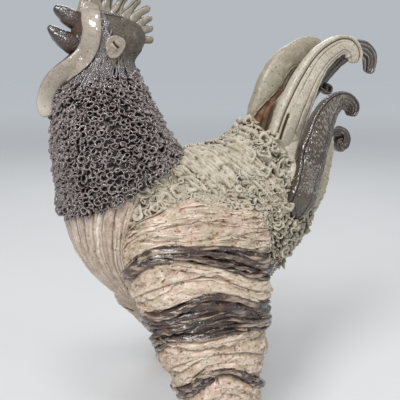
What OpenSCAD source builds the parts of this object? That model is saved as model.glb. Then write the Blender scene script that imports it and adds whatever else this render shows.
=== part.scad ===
// Stoneware rooster, hand built from a hollow pinched body with fired-on coils, strips,
// tubes and ring curls. It faces -X with its left side towards -Y and stands on z = 0.

/* [Overall] */
// Length from the hanging wattles to the tail tips
bird_l = 318; // [290:1:340]
// Width over both feet
bird_w = 252; // [235:1:270]
// Height to the tip of the comb
bird_h = 385; // [360:1:410]
// Wall of the hollow body, neck, head and legs
wall = 6; // [4.5:0.25:7]
// Gap between an applied piece and the surface it was pressed on
joint_gap = 0.3; // [0.2:0.05:0.5]

/* [Neck curls] */
// Outer radius of one curl of the neck
curl_r = 5.8; // [4.5:0.1:6]
// Radius of the rolled clay a curl is bent from
curl_rod = 1.5; // [1.1:0.1:1.7]

/* [Rings and tubes] */
// Outer radius of the large tubes on the rump
tube_r = 5.6; // [4.5:0.1:6.2]
// Height of the large tubes
tube_h = 7; // [4:0.5:9]
// Wall of a tube
tube_wall = 1.6; // [1.2:0.1:2]
// Outer radius of the small rings under the saddle strands
ring_r = 3.6; // [3:0.1:4]
// Height of the small rings
ring_h = 3; // [2:0.25:4]

/* [Applied clay] */
// Thickness of the breast strands
breast_t = 3.6; // [2.5:0.1:4.5]
// Thickness of the saddle strands
saddle_t = 3.4; // [2.5:0.1:4.5]
// Thickness of a leg strip at its lower lip
strip_t = 4.4; // [3:0.1:5.5]
// Gap between two neighbouring leg strips, along the leg
strip_gap = 0.5; // [0.4:0.1:1]
// How far the edges of the strips wave up and down
strip_wave = 0.8; // [0:0.1:1.2]
// Thickness of the flat wattle strap
strap_t = 4; // [3:0.1:5]

/* [Head] */
// Half height of the eye disc
eye_r = 9.4; // [7:0.1:10]
// Thickness of the eye disc
eye_t = 2.6; // [1.5:0.1:3.5]
// Radius of a rolled finger of the comb
finger_r = 2.2; // [1.6:0.1:2.4]
// Half width of the flat front leaf of the comb
leaf_r = 4; // [3:0.1:4.4]

/* [Fineness] */
// Facets round the body, neck and head
torso_sides = 32; // [24:2:36]
// Facets round a leg
leg_sides = 24; // [20:2:32]

/* [Hidden] */

// Body, neck and head as one row of sections that fan out round the nape. Each row:
// back x, back z, belly x, belly z, half width, as shares of length, height and width.
torso_shares = [
  // tail stump
  [0.088, 0.691, 0.245, 0.553, 0.095],
  [0.057, 0.686, 0.264, 0.499, 0.151],
  // rump
  [0.025, 0.662, 0.239, 0.434, 0.198],
  [-0.013, 0.647, 0.167, 0.366, 0.230],
  // saddle and belly
  [-0.050, 0.642, 0.082, 0.299, 0.246],
  [-0.079, 0.639, -0.031, 0.260, 0.254],
  [-0.094, 0.638, -0.148, 0.260, 0.254],
  [-0.105, 0.636, -0.258, 0.288, 0.246],
  // breast
  [-0.113, 0.635, -0.352, 0.348, 0.234],
  [-0.119, 0.634, -0.415, 0.423, 0.218],
  // foot of the neck
  [-0.135, 0.631, -0.443, 0.514, 0.202],
  // neck
  [-0.164, 0.665, -0.456, 0.584, 0.194],
  [-0.192, 0.706, -0.462, 0.649, 0.183],
  [-0.217, 0.748, -0.459, 0.706, 0.163],
  [-0.237, 0.784, -0.447, 0.756, 0.139],
  [-0.247, 0.808, -0.425, 0.792, 0.115],
  // head
  [-0.252, 0.831, -0.396, 0.831, 0.093],
  [-0.226, 0.860, -0.406, 0.868, 0.089],
  [-0.220, 0.883, -0.409, 0.896, 0.085],
  [-0.236, 0.904, -0.396, 0.918, 0.071],
  [-0.270, 0.917, -0.374, 0.931, 0.048],
  [-0.302, 0.925, -0.343, 0.931, 0.020],
];
// Row numbers where the neck meets the body and the head meets the neck
collar_row = 10;
chin_row = 16;
crown_row = 21;

// Legs from the haunch to the foot: middle x, distance of the middle from the side view's
// plane, height, half length, half depth
left_leg_shares = [
  [-0.145, 0.175, 0.551, 0.094, 0.056],
  [-0.142, 0.179, 0.527, 0.145, 0.087],
  [-0.135, 0.187, 0.481, 0.176, 0.119],
  [-0.129, 0.206, 0.416, 0.182, 0.131],
  [-0.123, 0.234, 0.358, 0.173, 0.135],
  [-0.116, 0.262, 0.309, 0.154, 0.131],
  [-0.115, 0.290, 0.255, 0.137, 0.119],
  [-0.112, 0.317, 0.203, 0.113, 0.107],
  [-0.102, 0.353, 0.130, 0.090, 0.091],
  [-0.091, 0.385, 0.057, 0.082, 0.087],
  [-0.091, 0.405, 0.000, 0.091, 0.095],
];
right_leg_shares = [
  [-0.151, 0.175, 0.551, 0.094, 0.056],
  [-0.151, 0.179, 0.527, 0.145, 0.087],
  [-0.145, 0.187, 0.481, 0.173, 0.119],
  [-0.138, 0.206, 0.416, 0.179, 0.131],
  [-0.135, 0.234, 0.358, 0.170, 0.135],
  [-0.135, 0.262, 0.309, 0.151, 0.131],
  [-0.138, 0.290, 0.255, 0.126, 0.119],
  [-0.126, 0.313, 0.203, 0.113, 0.107],
  [-0.097, 0.341, 0.130, 0.094, 0.095],
  [-0.060, 0.377, 0.062, 0.069, 0.083],
  [-0.057, 0.405, 0.000, 0.072, 0.091],
];

// Tail feathers from root to tip: x, y, z, half width as a share of the length
cream_long_shares = [
  [0.171, -0.056, 0.637, 0.047],
  [0.181, -0.058, 0.671, 0.047],
  [0.192, -0.058, 0.709, 0.049],
  [0.209, -0.054, 0.747, 0.047],
  [0.233, -0.050, 0.785, 0.042],
  [0.259, -0.044, 0.818, 0.038],
  [0.289, -0.038, 0.843, 0.035],
  [0.322, -0.032, 0.861, 0.030],
  [0.352, -0.028, 0.869, 0.027],
  [0.381, -0.028, 0.865, 0.025],
  [0.399, -0.028, 0.847, 0.022],
  [0.403, -0.028, 0.823, 0.014],
];
cream_back_shares = [
  [0.119, 0.032, 0.670, 0.041],
  [0.126, 0.036, 0.717, 0.042],
  [0.143, 0.036, 0.755, 0.045],
  [0.162, 0.036, 0.790, 0.044],
  [0.189, 0.036, 0.823, 0.042],
  [0.223, 0.036, 0.844, 0.039],
  [0.253, 0.036, 0.861, 0.033],
  [0.281, 0.036, 0.866, 0.028],
  [0.311, 0.036, 0.862, 0.019],
];
dark_hook_shares = [
  [0.208, 0.044, 0.592, 0.028],
  [0.223, 0.048, 0.636, 0.030],
  [0.242, 0.048, 0.681, 0.030],
  [0.264, 0.048, 0.727, 0.029],
  [0.292, 0.048, 0.769, 0.027],
  [0.330, 0.048, 0.805, 0.026],
  [0.374, 0.048, 0.834, 0.025],
  [0.418, 0.048, 0.852, 0.024],
  [0.456, 0.048, 0.852, 0.024],
  [0.481, 0.048, 0.835, 0.022],
  [0.476, 0.048, 0.813, 0.014],
];
dark_low_shares = [
  [0.162, -0.216, 0.540, 0.039],
  [0.182, -0.188, 0.566, 0.041],
  [0.203, -0.163, 0.595, 0.042],
  [0.215, -0.151, 0.629, 0.044],
  [0.233, -0.143, 0.660, 0.041],
  [0.252, -0.131, 0.694, 0.038],
  [0.277, -0.119, 0.722, 0.031],
  [0.303, -0.111, 0.739, 0.025],
  [0.330, -0.107, 0.739, 0.024],
  [0.352, -0.103, 0.722, 0.019],
  [0.343, -0.103, 0.706, 0.011],
];
dark_curl_shares = [
  [0.208, 0.187, 0.543, 0.013],
  [0.239, 0.171, 0.556, 0.013],
  [0.277, 0.163, 0.574, 0.013],
  [0.318, 0.155, 0.597, 0.013],
  [0.352, 0.147, 0.619, 0.012],
  [0.382, 0.139, 0.643, 0.010],
  [0.406, 0.131, 0.657, 0.010],
  [0.429, 0.127, 0.661, 0.009],
  [0.448, 0.127, 0.651, 0.009],
  [0.454, 0.127, 0.632, 0.009],
  [0.447, 0.127, 0.615, 0.009],
  [0.431, 0.127, 0.607, 0.008],
  [0.416, 0.127, 0.616, 0.008],
  [0.414, 0.127, 0.630, 0.007],
  [0.425, 0.127, 0.639, 0.006],
];
cream_low_shares = [
  [0.270, 0.060, 0.468, 0.019],
  [0.289, 0.060, 0.464, 0.022],
  [0.308, 0.062, 0.473, 0.025],
  [0.327, 0.065, 0.499, 0.026],
  [0.341, 0.069, 0.530, 0.027],
  [0.351, 0.073, 0.566, 0.027],
  [0.358, 0.073, 0.603, 0.025],
  [0.363, 0.069, 0.634, 0.019],
  [0.362, 0.065, 0.657, 0.009],
];
// Half thickness of a feather as a share of its half width
feather_depth_share = 0.42;
// The same for the rolled feather, whose sheet is seen from its edge
curl_depth_share = 2.2;

// Wattle strap from the crown to the hanging lobe: x, z, distance from the middle, half width
strap_shares = [
  [-0.356, 0.942, 0.012, 0.019],
  [-0.362, 0.929, 0.020, 0.021],
  [-0.365, 0.910, 0.038, 0.021],
  [-0.365, 0.888, 0.044, 0.021],
  [-0.372, 0.862, 0.044, 0.021],
  [-0.385, 0.842, 0.044, 0.021],
  [-0.407, 0.823, 0.044, 0.021],
  [-0.432, 0.808, 0.036, 0.021],
  [-0.453, 0.792, 0.024, 0.021],
  [-0.467, 0.777, 0.014, 0.021],
  [-0.477, 0.757, 0.006, 0.019],
  [-0.481, 0.739, 0.002, 0.019],
  [-0.480, 0.727, 0.002, 0.014],
  [-0.478, 0.718, 0.002, 0.006],
];

// Beak halves from the head outwards: x, z, half width, half height
upper_beak_shares = [
  [-0.412, 0.917, 0.030, 0.021],
  [-0.425, 0.925, 0.024, 0.017],
  [-0.437, 0.931, 0.016, 0.011],
  [-0.448, 0.936, 0.006, 0.004],
];
lower_beak_shares = [
  [-0.421, 0.870, 0.032, 0.023],
  [-0.437, 0.879, 0.026, 0.018],
  [-0.451, 0.888, 0.018, 0.012],
  [-0.465, 0.899, 0.006, 0.004],
];

// Tips of the comb from the nape to the front, x and z
comb_tip_shares = [[-0.198, 0.875], [-0.198, 0.899], [-0.201, 0.919], [-0.204, 0.940], [-0.230, 0.958], [-0.261, 0.974], [-0.292, 0.987], [-0.321, 0.997], [-0.346, 0.992]];

torso_mm = [for (r = torso_shares) [r[0]*bird_l, r[1]*bird_h, r[2]*bird_l, r[3]*bird_h, r[4]*bird_w]];
function leg_mm(shares) =
  [for (r = shares) [r[0]*bird_l, r[1]*bird_w, r[2]*bird_h, r[3]*bird_l, r[4]*bird_w]];
left_rows = leg_mm(left_leg_shares);
right_rows = leg_mm(right_leg_shares);

// Smooth value between the rows of a list
function blend(t, s) =
  let (n = len(t) - 1, i = min(max(floor(s), 0), n - 1), f = s - i,
       a = t[max(i - 1, 0)], b = t[i], c = t[i + 1], d = t[min(i + 2, n)])
  b + (c - a)*(f/2) + (2*a - 5*b + 4*c - d)*(f*f/2) + (3*b - a - 3*c + d)*(f*f*f/2);

// Straight value between rows, after the smooth rows have been set out twice as densely
row_div = 2;
torso_rows = [for (k = [0 : row_div*crown_row]) blend(torso_mm, k/row_div)];
function straight(t, s) =
  let (i = min(max(floor(s), 0), len(t) - 2)) t[i] + (t[i + 1] - t[i])*(s - i);

// Point of the body, neck or head: row s, angle a from the belly side, distance off it.
// Angles up to 180 are the right side, negative ones the left side.
function torso_at(s, a, off) =
  let (r = straight(torso_rows, s*row_div), mid = [r[0] + r[2], r[1] + r[3]]/2,
       half = [r[2] - r[0], r[3] - r[1]]/2, reach = half*((norm(half) + off)/norm(half)))
  [mid[0] + reach[0]*cos(a), (r[4] + off)*sin(a), mid[1] + reach[1]*cos(a)];

// Half width of the body, neck and head at a place of the side view, 0 outside them
function side_of(i, x, z) =
  let (r = torso_rows[i]) (r[2] - r[0])*(z - r[1]) - (r[3] - r[1])*(x - r[0]);
function width_in(i, x, z) =
  let (p = side_of(i, x, z), q = side_of(i + 1, x, z), f = p/(p - q),
       r = torso_rows[i] + (torso_rows[i + 1] - torso_rows[i])*f,
       mid = [r[0] + r[2], r[1] + r[3]]/2, half = [r[2] - r[0], r[3] - r[1]]/2,
       c = ([x, z] - mid)*half/(half*half))
  abs(c) < 1 ? r[4]*sqrt(1 - c*c) : 0;
function torso_width(x, z) =
  max([for (i = [0 : len(torso_rows) - 2])
    side_of(i, x, z)*side_of(i + 1, x, z) <= 0 && side_of(i, x, z) != side_of(i + 1, x, z)
      ? width_in(i, x, z) : 0]);

// Gap to the body for pieces whose flats cross the flats of the body
flat_room = 0.3;
seat_gap = joint_gap + flat_room;

// A point moved sideways out of the body where it would lie in it
function beside(p) =
  let (w = torso_width(p[0], p[2]))
  w > 0 ? [p[0], (p[1] < 0 ? -1 : 1)*max(abs(p[1]), w + seat_gap), p[2]] : p;

// Point of a leg on the left side, kept outside the body: row s, angle a from the rear
// over the outside to the front
function leg_at(rows, s, a, off) =
  let (r = blend(rows, s), x = r[0] + r[3]*cos(a), y = r[1] + (r[4] + off)*sin(a),
       skirt = wall*max(sin(a), 0))
  [x + off*cos(a), -max(y, torso_width(x, r[2]) + seat_gap + abs(off) + skirt), r[2]];

// The same on the flats between the rings of a leg
function leg_on(rows, s, a, off) =
  let (i = floor(s*row_div), f = s*row_div - i, p = leg_at(rows, i/row_div, a, off),
       q = leg_at(rows, (i + 1)/row_div, a, off))
  p + (q - p)*f;

// Outward direction of the body, found from two short steps on it
step = 0.05;
function outward(s, a) =
  let (n = cross(torso_at(s + step, a, 0) - torso_at(s - step, a, 0),
                 torso_at(s, a + 1, 0) - torso_at(s, a - 1, 0)),
       u = n/norm(n))
  u*(torso_at(s, a, 1) - torso_at(s, a, 0)) > 0 ? u : -u;

// Closed solid through a row of rings with the same number of points
function band_faces(n, i, k) =
  [for (j = [0 : n - 1]) each [[i*n + j, k*n + j, k*n + (j + 1)%n],
                               [i*n + j, k*n + (j + 1)%n, i*n + (j + 1)%n]]];
function cap_faces(n, i, turn) =
  [for (j = [0 : n/2 - 1])
    let (a = j, b = j + 1, c = n - j - 1, d = (n - j)%n)
    each [if (b != c) turn ? [i*n + a, i*n + c, i*n + b] : [i*n + a, i*n + b, i*n + c],
          if (d != a) turn ? [i*n + a, i*n + d, i*n + c] : [i*n + a, i*n + c, i*n + d]]];
function six_volumes(p, f) =
  [for (t = f) cross(p[t[0]], p[t[1]])*p[t[2]]]*[for (t = f) 1];

module skin(rings, loop = false) {
  n = len(rings[0]);
  m = len(rings);
  points = [for (r = rings) each r];
  walls = [for (i = [0 : m - 2]) each band_faces(n, i, i + 1)];
  ends = loop ? band_faces(n, m - 1, 0)
              : concat(cap_faces(n, 0, false), cap_faces(n, m - 1, true));
  faces = concat(walls, ends);
  inward = six_volumes(points, faces) > 0;
  polyhedron(points, inward ? [for (t = faces) [t[2], t[1], t[0]]] : faces, convexity = 8);
}

// Solid between a lower and an upper sheet of points
module slab(low, high) {
  skin([for (i = [0 : len(low) - 1])
    concat(low[i], [for (j = [len(high[i]) - 1 : -1 : 0]) high[i][j]])]);
}

function torso_ring(s, off) =
  [for (k = [0 : torso_sides - 1]) torso_at(s, k*360/torso_sides, off)];
function leg_ring(rows, s, off) =
  [for (k = [0 : leg_sides - 1]) leg_at(rows, s, k*360/leg_sides, off)];

module body() {
  cavity_start = 0.7;
  outer = [for (k = [0 : row_div*collar_row]) torso_ring(k/row_div, 0)];
  inner = [for (s = [collar_row : -1 : 1]) torso_ring(s, -wall)];
  color("#c9bda6") skin(concat(outer, inner, [torso_ring(cavity_start, -wall)]));
}

module neck() {
  outer = [for (k = [row_div*collar_row : row_div*chin_row]) torso_ring(k/row_div, 0)];
  inner = [for (s = [chin_row : -1 : collar_row]) torso_ring(s, -wall)];
  color("#3a302e") skin(concat(outer, inner), loop = true);
}

module head() {
  cavity_end = 19.4;
  outer = [for (k = [row_div*crown_row : -1 : row_div*chin_row]) torso_ring(k/row_div, 0)];
  inner = [for (s = [chin_row : 1 : cavity_end]) torso_ring(s, -wall)];
  color("#5a4c46") skin(concat(outer, inner));
}

module leg(rows) {
  last = len(rows) - 1;
  cavity_start = 3;
  outer = [for (k = [0 : row_div*last]) leg_ring(rows, k/row_div, 0)];
  inner = [for (s = [last : -1 : cavity_start]) leg_ring(rows, s, -wall)];
  color("#c8baa2") skin(concat(outer, inner));
}

module left_leg() {
  leg(left_rows);
}

module right_leg() {
  mirror([0, 1, 0]) leg(right_rows);
}

// Heights where one strip ends and the next begins, from the haunch to the foot: a row each
// for the rear, the outside rear, the outside, the outside front and the front of the leg
strip_edge_shares = [
  [0.517, 0.488, 0.434, 0.371, 0.340, 0.314, 0.291, 0.270, 0.218, 0.171, 0.151, 0.112, 0.073, 0.021],
  [0.527, 0.494, 0.440, 0.379, 0.360, 0.340, 0.314, 0.290, 0.242, 0.191, 0.174, 0.130, 0.083, 0.023],
  [0.548, 0.509, 0.465, 0.434, 0.406, 0.379, 0.340, 0.300, 0.268, 0.235, 0.216, 0.156, 0.096, 0.026],
  [0.530, 0.496, 0.462, 0.434, 0.394, 0.355, 0.317, 0.279, 0.243, 0.206, 0.182, 0.135, 0.086, 0.023],
  [0.483, 0.457, 0.408, 0.387, 0.353, 0.321, 0.283, 0.247, 0.209, 0.174, 0.149, 0.112, 0.073, 0.021]
];
// Degrees between two of these rows
edge_angle = 45;
// Strips under the dark glaze, counted from 0 at the haunch
dark_strips = [2, 5, 6, 9];
// Facets of the leg that the strips cover, on the left and on the right leg
left_strip_sides = 12;
right_strip_sides = 9;
// Height of one leg row near the middle of the leg
strip_row_share = 0.055;
leg_heights = [for (i = [0 : len(left_rows) - 1]) [left_rows[i][2], i]];
function strip_edge(k, a) =
  let (row = blend(strip_edge_shares, a/edge_angle))
  lookup(row[k]*bird_h + strip_wave*sin(5*a + 67*k), leg_heights);

module strip(rows, k, facets) {
  half_gap = strip_gap/2/(bird_h*strip_row_share);
  // Two sheets, the upper one ending in a lip over the lower one
  lip_share = 0.54;
  lip_wave_share = 0.1;
  across_shares = [0, 0.3, lip_share, lip_share + 0.05, 0.82, 1];
  thick_shares = [0.3, 0.85, 1, 0.5, 0.85, 1];
  sheet = function(top)
    [for (i = [0 : facets])
      let (a = i*360/leg_sides,
           s0 = strip_edge(k, a) + half_gap, s1 = strip_edge(k + 1, a) - half_gap,
           worn = (0.8 + 0.2*sin(7*a + 131*k))*(0.45 + 0.55*sqrt(max(sin(a), 0))),
           shift = lip_wave_share*sin(6*a + 83*k))
      [for (j = [0 : len(across_shares) - 1])
        let (f = across_shares[j], at = f + shift*4*f*(1 - f))
        leg_on(rows, s0 + (s1 - s0)*at, a,
               joint_gap + (top ? strip_t*thick_shares[j]*worn : 0))]];
  shade = len(search(k, dark_strips)) > 0 ? "#3b3230" : k % 2 == 0 ? "#cfc0ab" : "#c4b196";
  color(shade) slab(sheet(false), sheet(true));
}

module left_strip(k) {
  strip(left_rows, k, left_strip_sides);
}

module right_strip(k) {
  mirror([0, 1, 0]) strip(right_rows, k, right_strip_sides);
}

// Long strands of the breast, fanned from the collar to the belly
module breast_strands() {
  strands = 17;
  per_strand = 3;
  steps = 10;
  top_row = 10;
  low_row = 7.5;
  top_angle = 104;
  low_angle = 36;
  groove_share = 0.55;
  sheet = function(top)
    [for (i = [0 : steps])
      let (s = low_row + (top_row - low_row)*i/steps,
           half_angle = low_angle + (top_angle - low_angle)*pow(i/steps, 1.4))
      [for (j = [0 : strands*per_strand])
        let (a = half_angle*(2*j/(strands*per_strand) - 1), deep = j % per_strand == 0 ? 1 : 0)
        torso_at(s, a, joint_gap + (top ? breast_t*(1 - groove_share*deep) : 0))]];
  color("#cdbba5") slab(sheet(false), sheet(true));
}

// Long strands laid over the back from the neck to the tail
module saddle_strands() {
  strands = 7;
  per_strand = 3;
  steps = 15;
  front_row = 9.5;
  rear_row = 2;
  half_angle = 31;
  groove_share = 0.5;
  sheet = function(top)
    [for (i = [0 : steps])
      let (s = rear_row + (front_row - rear_row)*i/steps)
      [for (j = [0 : strands*per_strand])
        let (a = 180 + half_angle*(2*j/(strands*per_strand) - 1),
             deep = j % per_strand == 0 ? 1 : 0)
        torso_at(s, a, joint_gap + (top ? saddle_t*(1 - groove_share*deep) : 0))]];
  color("#bdb8a2") slab(sheet(false), sheet(true));
}

// Places a piece made on z = 0 upright on the body at row s and angle a
module on_torso(s, a, lift) {
  p = torso_at(s, a, 0);
  n = outward(s, a);
  translate(p + n*lift) rotate([0, acos(n[2]), atan2(n[1], n[0])]) children();
}

module curl() {
  translate([0, 0, curl_rod])
    rotate_extrude($fn = 24) translate([curl_r - curl_rod, 0]) circle(r = curl_rod, $fn = 16);
}

// Rows of curls, staggered; a curl is left out where it would touch one of the row below
// or the wattle strap
curls_around = [24, 24, 22, 20, 18, 15, 12];
function curl_row(i) = 10.55 + 0.775*i;
function curl_angle(i, k) = (k + (i % 2)/2)*360/curls_around[i];
function curl_free(i, k) =
  let (p = torso_at(curl_row(i), curl_angle(i, k), curl_rod),
       below = i == 0 ? [2*bird_l] : [for (j = [0 : curls_around[i - 1] - 1])
         norm(p - torso_at(curl_row(i - 1), curl_angle(i - 1, j), curl_rod))],
       strap = [for (t = strap_shares)
         norm([p[0] - t[0]*bird_l, p[2] - t[1]*bird_h]) - t[3]*bird_l])
  min(below) > 2*curl_r + seat_gap
  && (abs(p[1]) > curls_beside_share*bird_w || min(strap) > curl_r + seat_gap);
// Distance from the middle, as a share of the width, that the strap doesn't reach
curls_beside_share = 0.16;

module neck_curls() {
  color("#2e2625")
    for (i = [0 : len(curls_around) - 1], k = [0 : curls_around[i] - 1])
      if (curl_free(i, k)) on_torso(curl_row(i), curl_angle(i, k), joint_gap) curl();
}

module tube(r, h, w) {
  rotate_extrude($fn = 24) translate([r - w, 0]) square([w, h]);
}

// Places of the large tubes, as row of the body and angle from the belly side: under the
// tail, on both flanks and beside the root of the tail
tube_places = [
  for (i = [0 : 5], k = [-3 : 3]) [0.4 + 0.55*i, 20*k + (i % 2)*9 - 4],
  for (side = [-1, 1], i = [0 : 3], k = [0 : 3]) [0.5 + 0.68*i, side*(79 + 16*k + (i % 2)*8)],
  for (side = [-1, 1]) [0.8, side*167],
];
// Rows and angles kept free for the roots of the low feathers
root_row = 1.4;
root_angle = 74;
root_rows = 1.05;
root_half_angle = 25;
low_root_row = 1.4;
low_root_angle = 22;
low_root_rows = 0.7;
low_root_half_angle = 24;
function clear_of_roots(row, angle) =
  (abs(row - root_row) > root_rows || abs(abs(angle) - root_angle) > root_half_angle)
  && (abs(row - low_root_row) > low_root_rows || abs(angle - low_root_angle) > low_root_half_angle);

module rump_tubes() {
  color("#b9ad90")
    for (i = [0 : len(tube_places) - 1]) {
      p = tube_places[i];
      size = 0.8 + 0.17*sin(97*i);
      if (clear_of_roots(p[0], p[1])) on_torso(p[0], p[1], joint_gap)
        tube(tube_r*size, tube_h*(0.7 + 0.3*sin(61*i)), tube_wall);
    }
}

// Two rows of small rings down each side, between the saddle strands and the haunch
module saddle_rings() {
  per_row = 8;
  rear_row = 3.4;
  front_row = 9.6;
  rear_angle = 133;
  front_angle = 107;
  next_angle = 8;
  color("#c2bba4")
    for (side = [-1, 1], row = [0, 1], k = [0 : per_row - 1]) {
      f = (k + row/2)/per_row;
      a = rear_angle + (front_angle - rear_angle)*f*f + row*next_angle;
      on_torso(rear_row + (front_row - rear_row)*f, side*a, joint_gap)
        tube(ring_r, ring_h, ring_r/3);
    }
}

// Rings of a piece pressed on the body: from its middle outwards, then away from the body
function pressed(s, a, ds, da, share, off, n) =
  [for (k = [0 : n - 1]) torso_at(s + ds*share*cos(k*360/n), a + da*share*sin(k*360/n), off)];

module left_eye() {
  eye_row = 16.8;
  eye_angle = -94;
  sides = 16;
  // Rows and degrees that one millimetre takes on the head there
  per_row = norm(torso_at(eye_row + 0.5, eye_angle, 0) - torso_at(eye_row - 0.5, eye_angle, 0));
  per_degree = norm(torso_at(eye_row, eye_angle + 5, 0) - torso_at(eye_row, eye_angle - 5, 0))/10;
  ds = eye_r/per_row;
  da = 0.8*eye_r/per_degree;
  back = [for (f = [0.3, 0.65, 1]) pressed(eye_row, eye_angle, ds, da, f, joint_gap, sides)];
  face = [for (f = [[1, 0.6], [0.85, 1], [0.55, 0.75], [0.3, 0.7]])
    pressed(eye_row, eye_angle, ds, da, f[0], joint_gap + eye_t*f[1], sides)];
  color("#c9bd9f") skin(concat(back, face));
}

module right_eye() {
  mirror([0, 1, 0]) left_eye();
}

module beak_half(s, ds, da, shares, shade) {
  sides = 12;
  root = [for (f = [0.35, 0.7, 1]) pressed(s, 0, ds, da, f, joint_gap, sides)];
  front = [for (r = shares)
    [for (k = [0 : sides - 1])
      [r[0]*bird_l, r[2]*bird_w*sin(k*360/sides), r[1]*bird_h + r[3]*bird_h*cos(k*360/sides)]]];
  color(shade) skin(concat(root, front));
}

module upper_beak() {
  beak_half(18.45, 0.85, 24, upper_beak_shares, "#4a3a36");
}

module lower_beak() {
  beak_half(16.75, 0.72, 24, lower_beak_shares, "#54423c");
}

// Strap laid over the cheek, its inner face on the head and neck where it crosses them
module left_wattle() {
  steps = 2*(len(strap_shares) - 1);
  path = [for (i = [0 : steps]) blend(strap_shares, i/2)];
  place = [for (p = path) [p[0]*bird_l, p[1]*bird_h]];
  sheet = function(top)
    [for (i = [0 : steps])
      let (t = place[min(i + 1, steps)] - place[max(i - 1, 0)], u = [t[1], -t[0]]/norm(t))
      [for (j = [-1, -0.4, 0.4, 1])
        let (p = place[i] + u*(j*path[i][3]*bird_l),
             inner = max(torso_width(p[0], p[1]) + seat_gap, path[i][2]*bird_w),
             crown = abs(j) == 1 ? 0.7 : 1)
        [p[0], -inner - (top ? strap_t*crown : 0), p[1]]]];
  color("#b7a88e") slab(sheet(false), sheet(true));
}

module right_wattle() {
  mirror([0, 1, 0]) left_wattle();
}

// Ring of a swept piece across its path, with the first direction in the plane of the bend
function swept(path, wide, deep, section) =
  [for (i = [0 : len(path) - 1])
    let (t = path[min(i + 1, len(path) - 1)] - path[max(i - 1, 0)],
         u = cross(t, [0, 1, 0])/norm(cross(t, [0, 1, 0])), v = cross(t, u)/norm(t))
    [for (q = section) path[i] + u*(q[0]*wide[i]) + v*(q[1]*deep[i])]];

function circle_of(n) = [for (k = [0 : n - 1]) [cos(k*360/n), sin(k*360/n)]];

// Rows and angles where the fingers of the comb stand, from the nape to the front
comb_feet = [[17.6, 180], [18.5, 180], [19.1, 180], [19.6, 180], [20.1, 180], [20.75, 180],
             [21, 90], [20.75, 0], [20.15, 0]];
leaf_finger = 7;

module comb_finger(k) {
  steps = 5;
  flat_share = 0.45;
  foot = k == 6 ? (torso_at(crown_row, 90, 0) + torso_at(crown_row, -90, 0))/2
                : torso_at(comb_feet[k][0], comb_feet[k][1], 0);
  n = k == 6 ? [0, 0, 1] : outward(comb_feet[k][0], comb_feet[k][1]);
  tip = [comb_tip_shares[k][0]*bird_l, 0, comb_tip_shares[k][1]*bird_h];
  start = foot + n*joint_gap;
  reach = norm(tip - start);
  bend = start + n*(reach*0.4);
  path = [for (i = [0 : steps]) let (t = i/steps)
    start*(1 - t)*(1 - t) + bend*(2*t*(1 - t)) + tip*(t*t)];
  wide = k == leaf_finger ? leaf_r : finger_r;
  deep = k == leaf_finger ? leaf_r*flat_share : finger_r;
  taper_shares = [1, 1.05, 1, 0.92, 0.8, 0.35];
  color(k < 6 ? "#b9ad94" : "#8d8270")
    skin(swept(path, wide*taper_shares, deep*taper_shares, circle_of(6)));
}

// Section of a feather: grooves on its outer face, plain on the other
feather_section_shares = [[1, 0], [0.8, 0.8], [0.45, 1], [0.15, 0.6], [-0.15, 1], [-0.5, 0.95], [-0.8, 0.7],
                   [-1, 0], [-0.75, -0.75], [-0.25, -1], [0.25, -1], [0.75, -0.75]];

// Section in the plane of the tail stump, so that a feather stands flat on it
module stump_feather(shares) {
  steps = 2*(len(shares) - 1);
  rows = [for (i = [0 : steps]) blend(shares, i/2)];
  path = [for (r = rows) [r[0]*bird_l, r[1]*bird_w, r[2]*bird_h]];
  wide = [for (r = rows) r[3]*bird_l];
  rings = swept(path, wide, wide*feather_depth_share, feather_section_shares);
  along = path[1] - path[0];
  back = torso_at(0, 180, 0);
  edge = torso_at(0, 0, 0) - back;
  up = cross([0, 1, 0], edge)/norm(edge);
  normal = up*along > 0 ? up : -up;
  foot = [for (p = rings[0]) p - along*(((p - back)*normal - joint_gap)/(along*normal))];
  skin([for (i = [0 : steps]) i == 0 ? foot : rings[i]]);
}

// Feather that grows out of the rump: its foot, a few rings pressed on the body, goes first
module rump_feather(shares, depth_share, foot) {
  steps = 2*(len(shares) - 1);
  rows = [for (i = [0 : steps]) blend(shares, i/2)];
  path = [for (r = rows) [r[0]*bird_l, r[1]*bird_w, r[2]*bird_h]];
  wide = [for (r = rows) r[3]*bird_l];
  rings = swept(path, wide, wide*depth_share, feather_section_shares);
  skin(concat(foot, [for (r = rings) [for (p = r) beside(p)]]));
}

// Rings of a foot on a flank of the rump, round a place of the side view
function flank_foot(place, reach, side) =
  [for (f = [0.4, 0.75, 1])
    [for (k = [0 : len(feather_section_shares) - 1])
      let (a = k*360/len(feather_section_shares), x = (place[0] - f*reach[0]*cos(a))*bird_l,
           z = (place[1] - f*reach[1]*sin(a))*bird_h)
      [x, side*(torso_width(x, z) + seat_gap), z]]];
function rear_foot(s, a, ds, da) =
  [for (f = [0.4, 0.75, 1]) pressed(s, a, -ds, -da, f, joint_gap, len(feather_section_shares))];

module cream_long_feather() { color("#c9bca4") stump_feather(cream_long_shares); }
module cream_back_feather() { color("#c2b89e") stump_feather(cream_back_shares); }
module dark_hook_feather() { color("#463d3b") stump_feather(dark_hook_shares); }

module dark_low_feather() {
  foot = flank_foot([0.149, 0.512], [0.028, 0.016], -1);
  color("#4f4543") rump_feather(dark_low_shares, feather_depth_share, foot);
}

module dark_curl_feather() {
  foot = flank_foot([0.189, 0.514], [0.02, 0.02], 1);
  color("#433a38") rump_feather(dark_curl_shares, curl_depth_share, foot);
}

module cream_low_feather() {
  foot = rear_foot(low_root_row, low_root_angle, low_root_rows/3, low_root_half_angle/3);
  color("#c4b798") rump_feather(cream_low_shares, feather_depth_share, foot);
}

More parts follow.
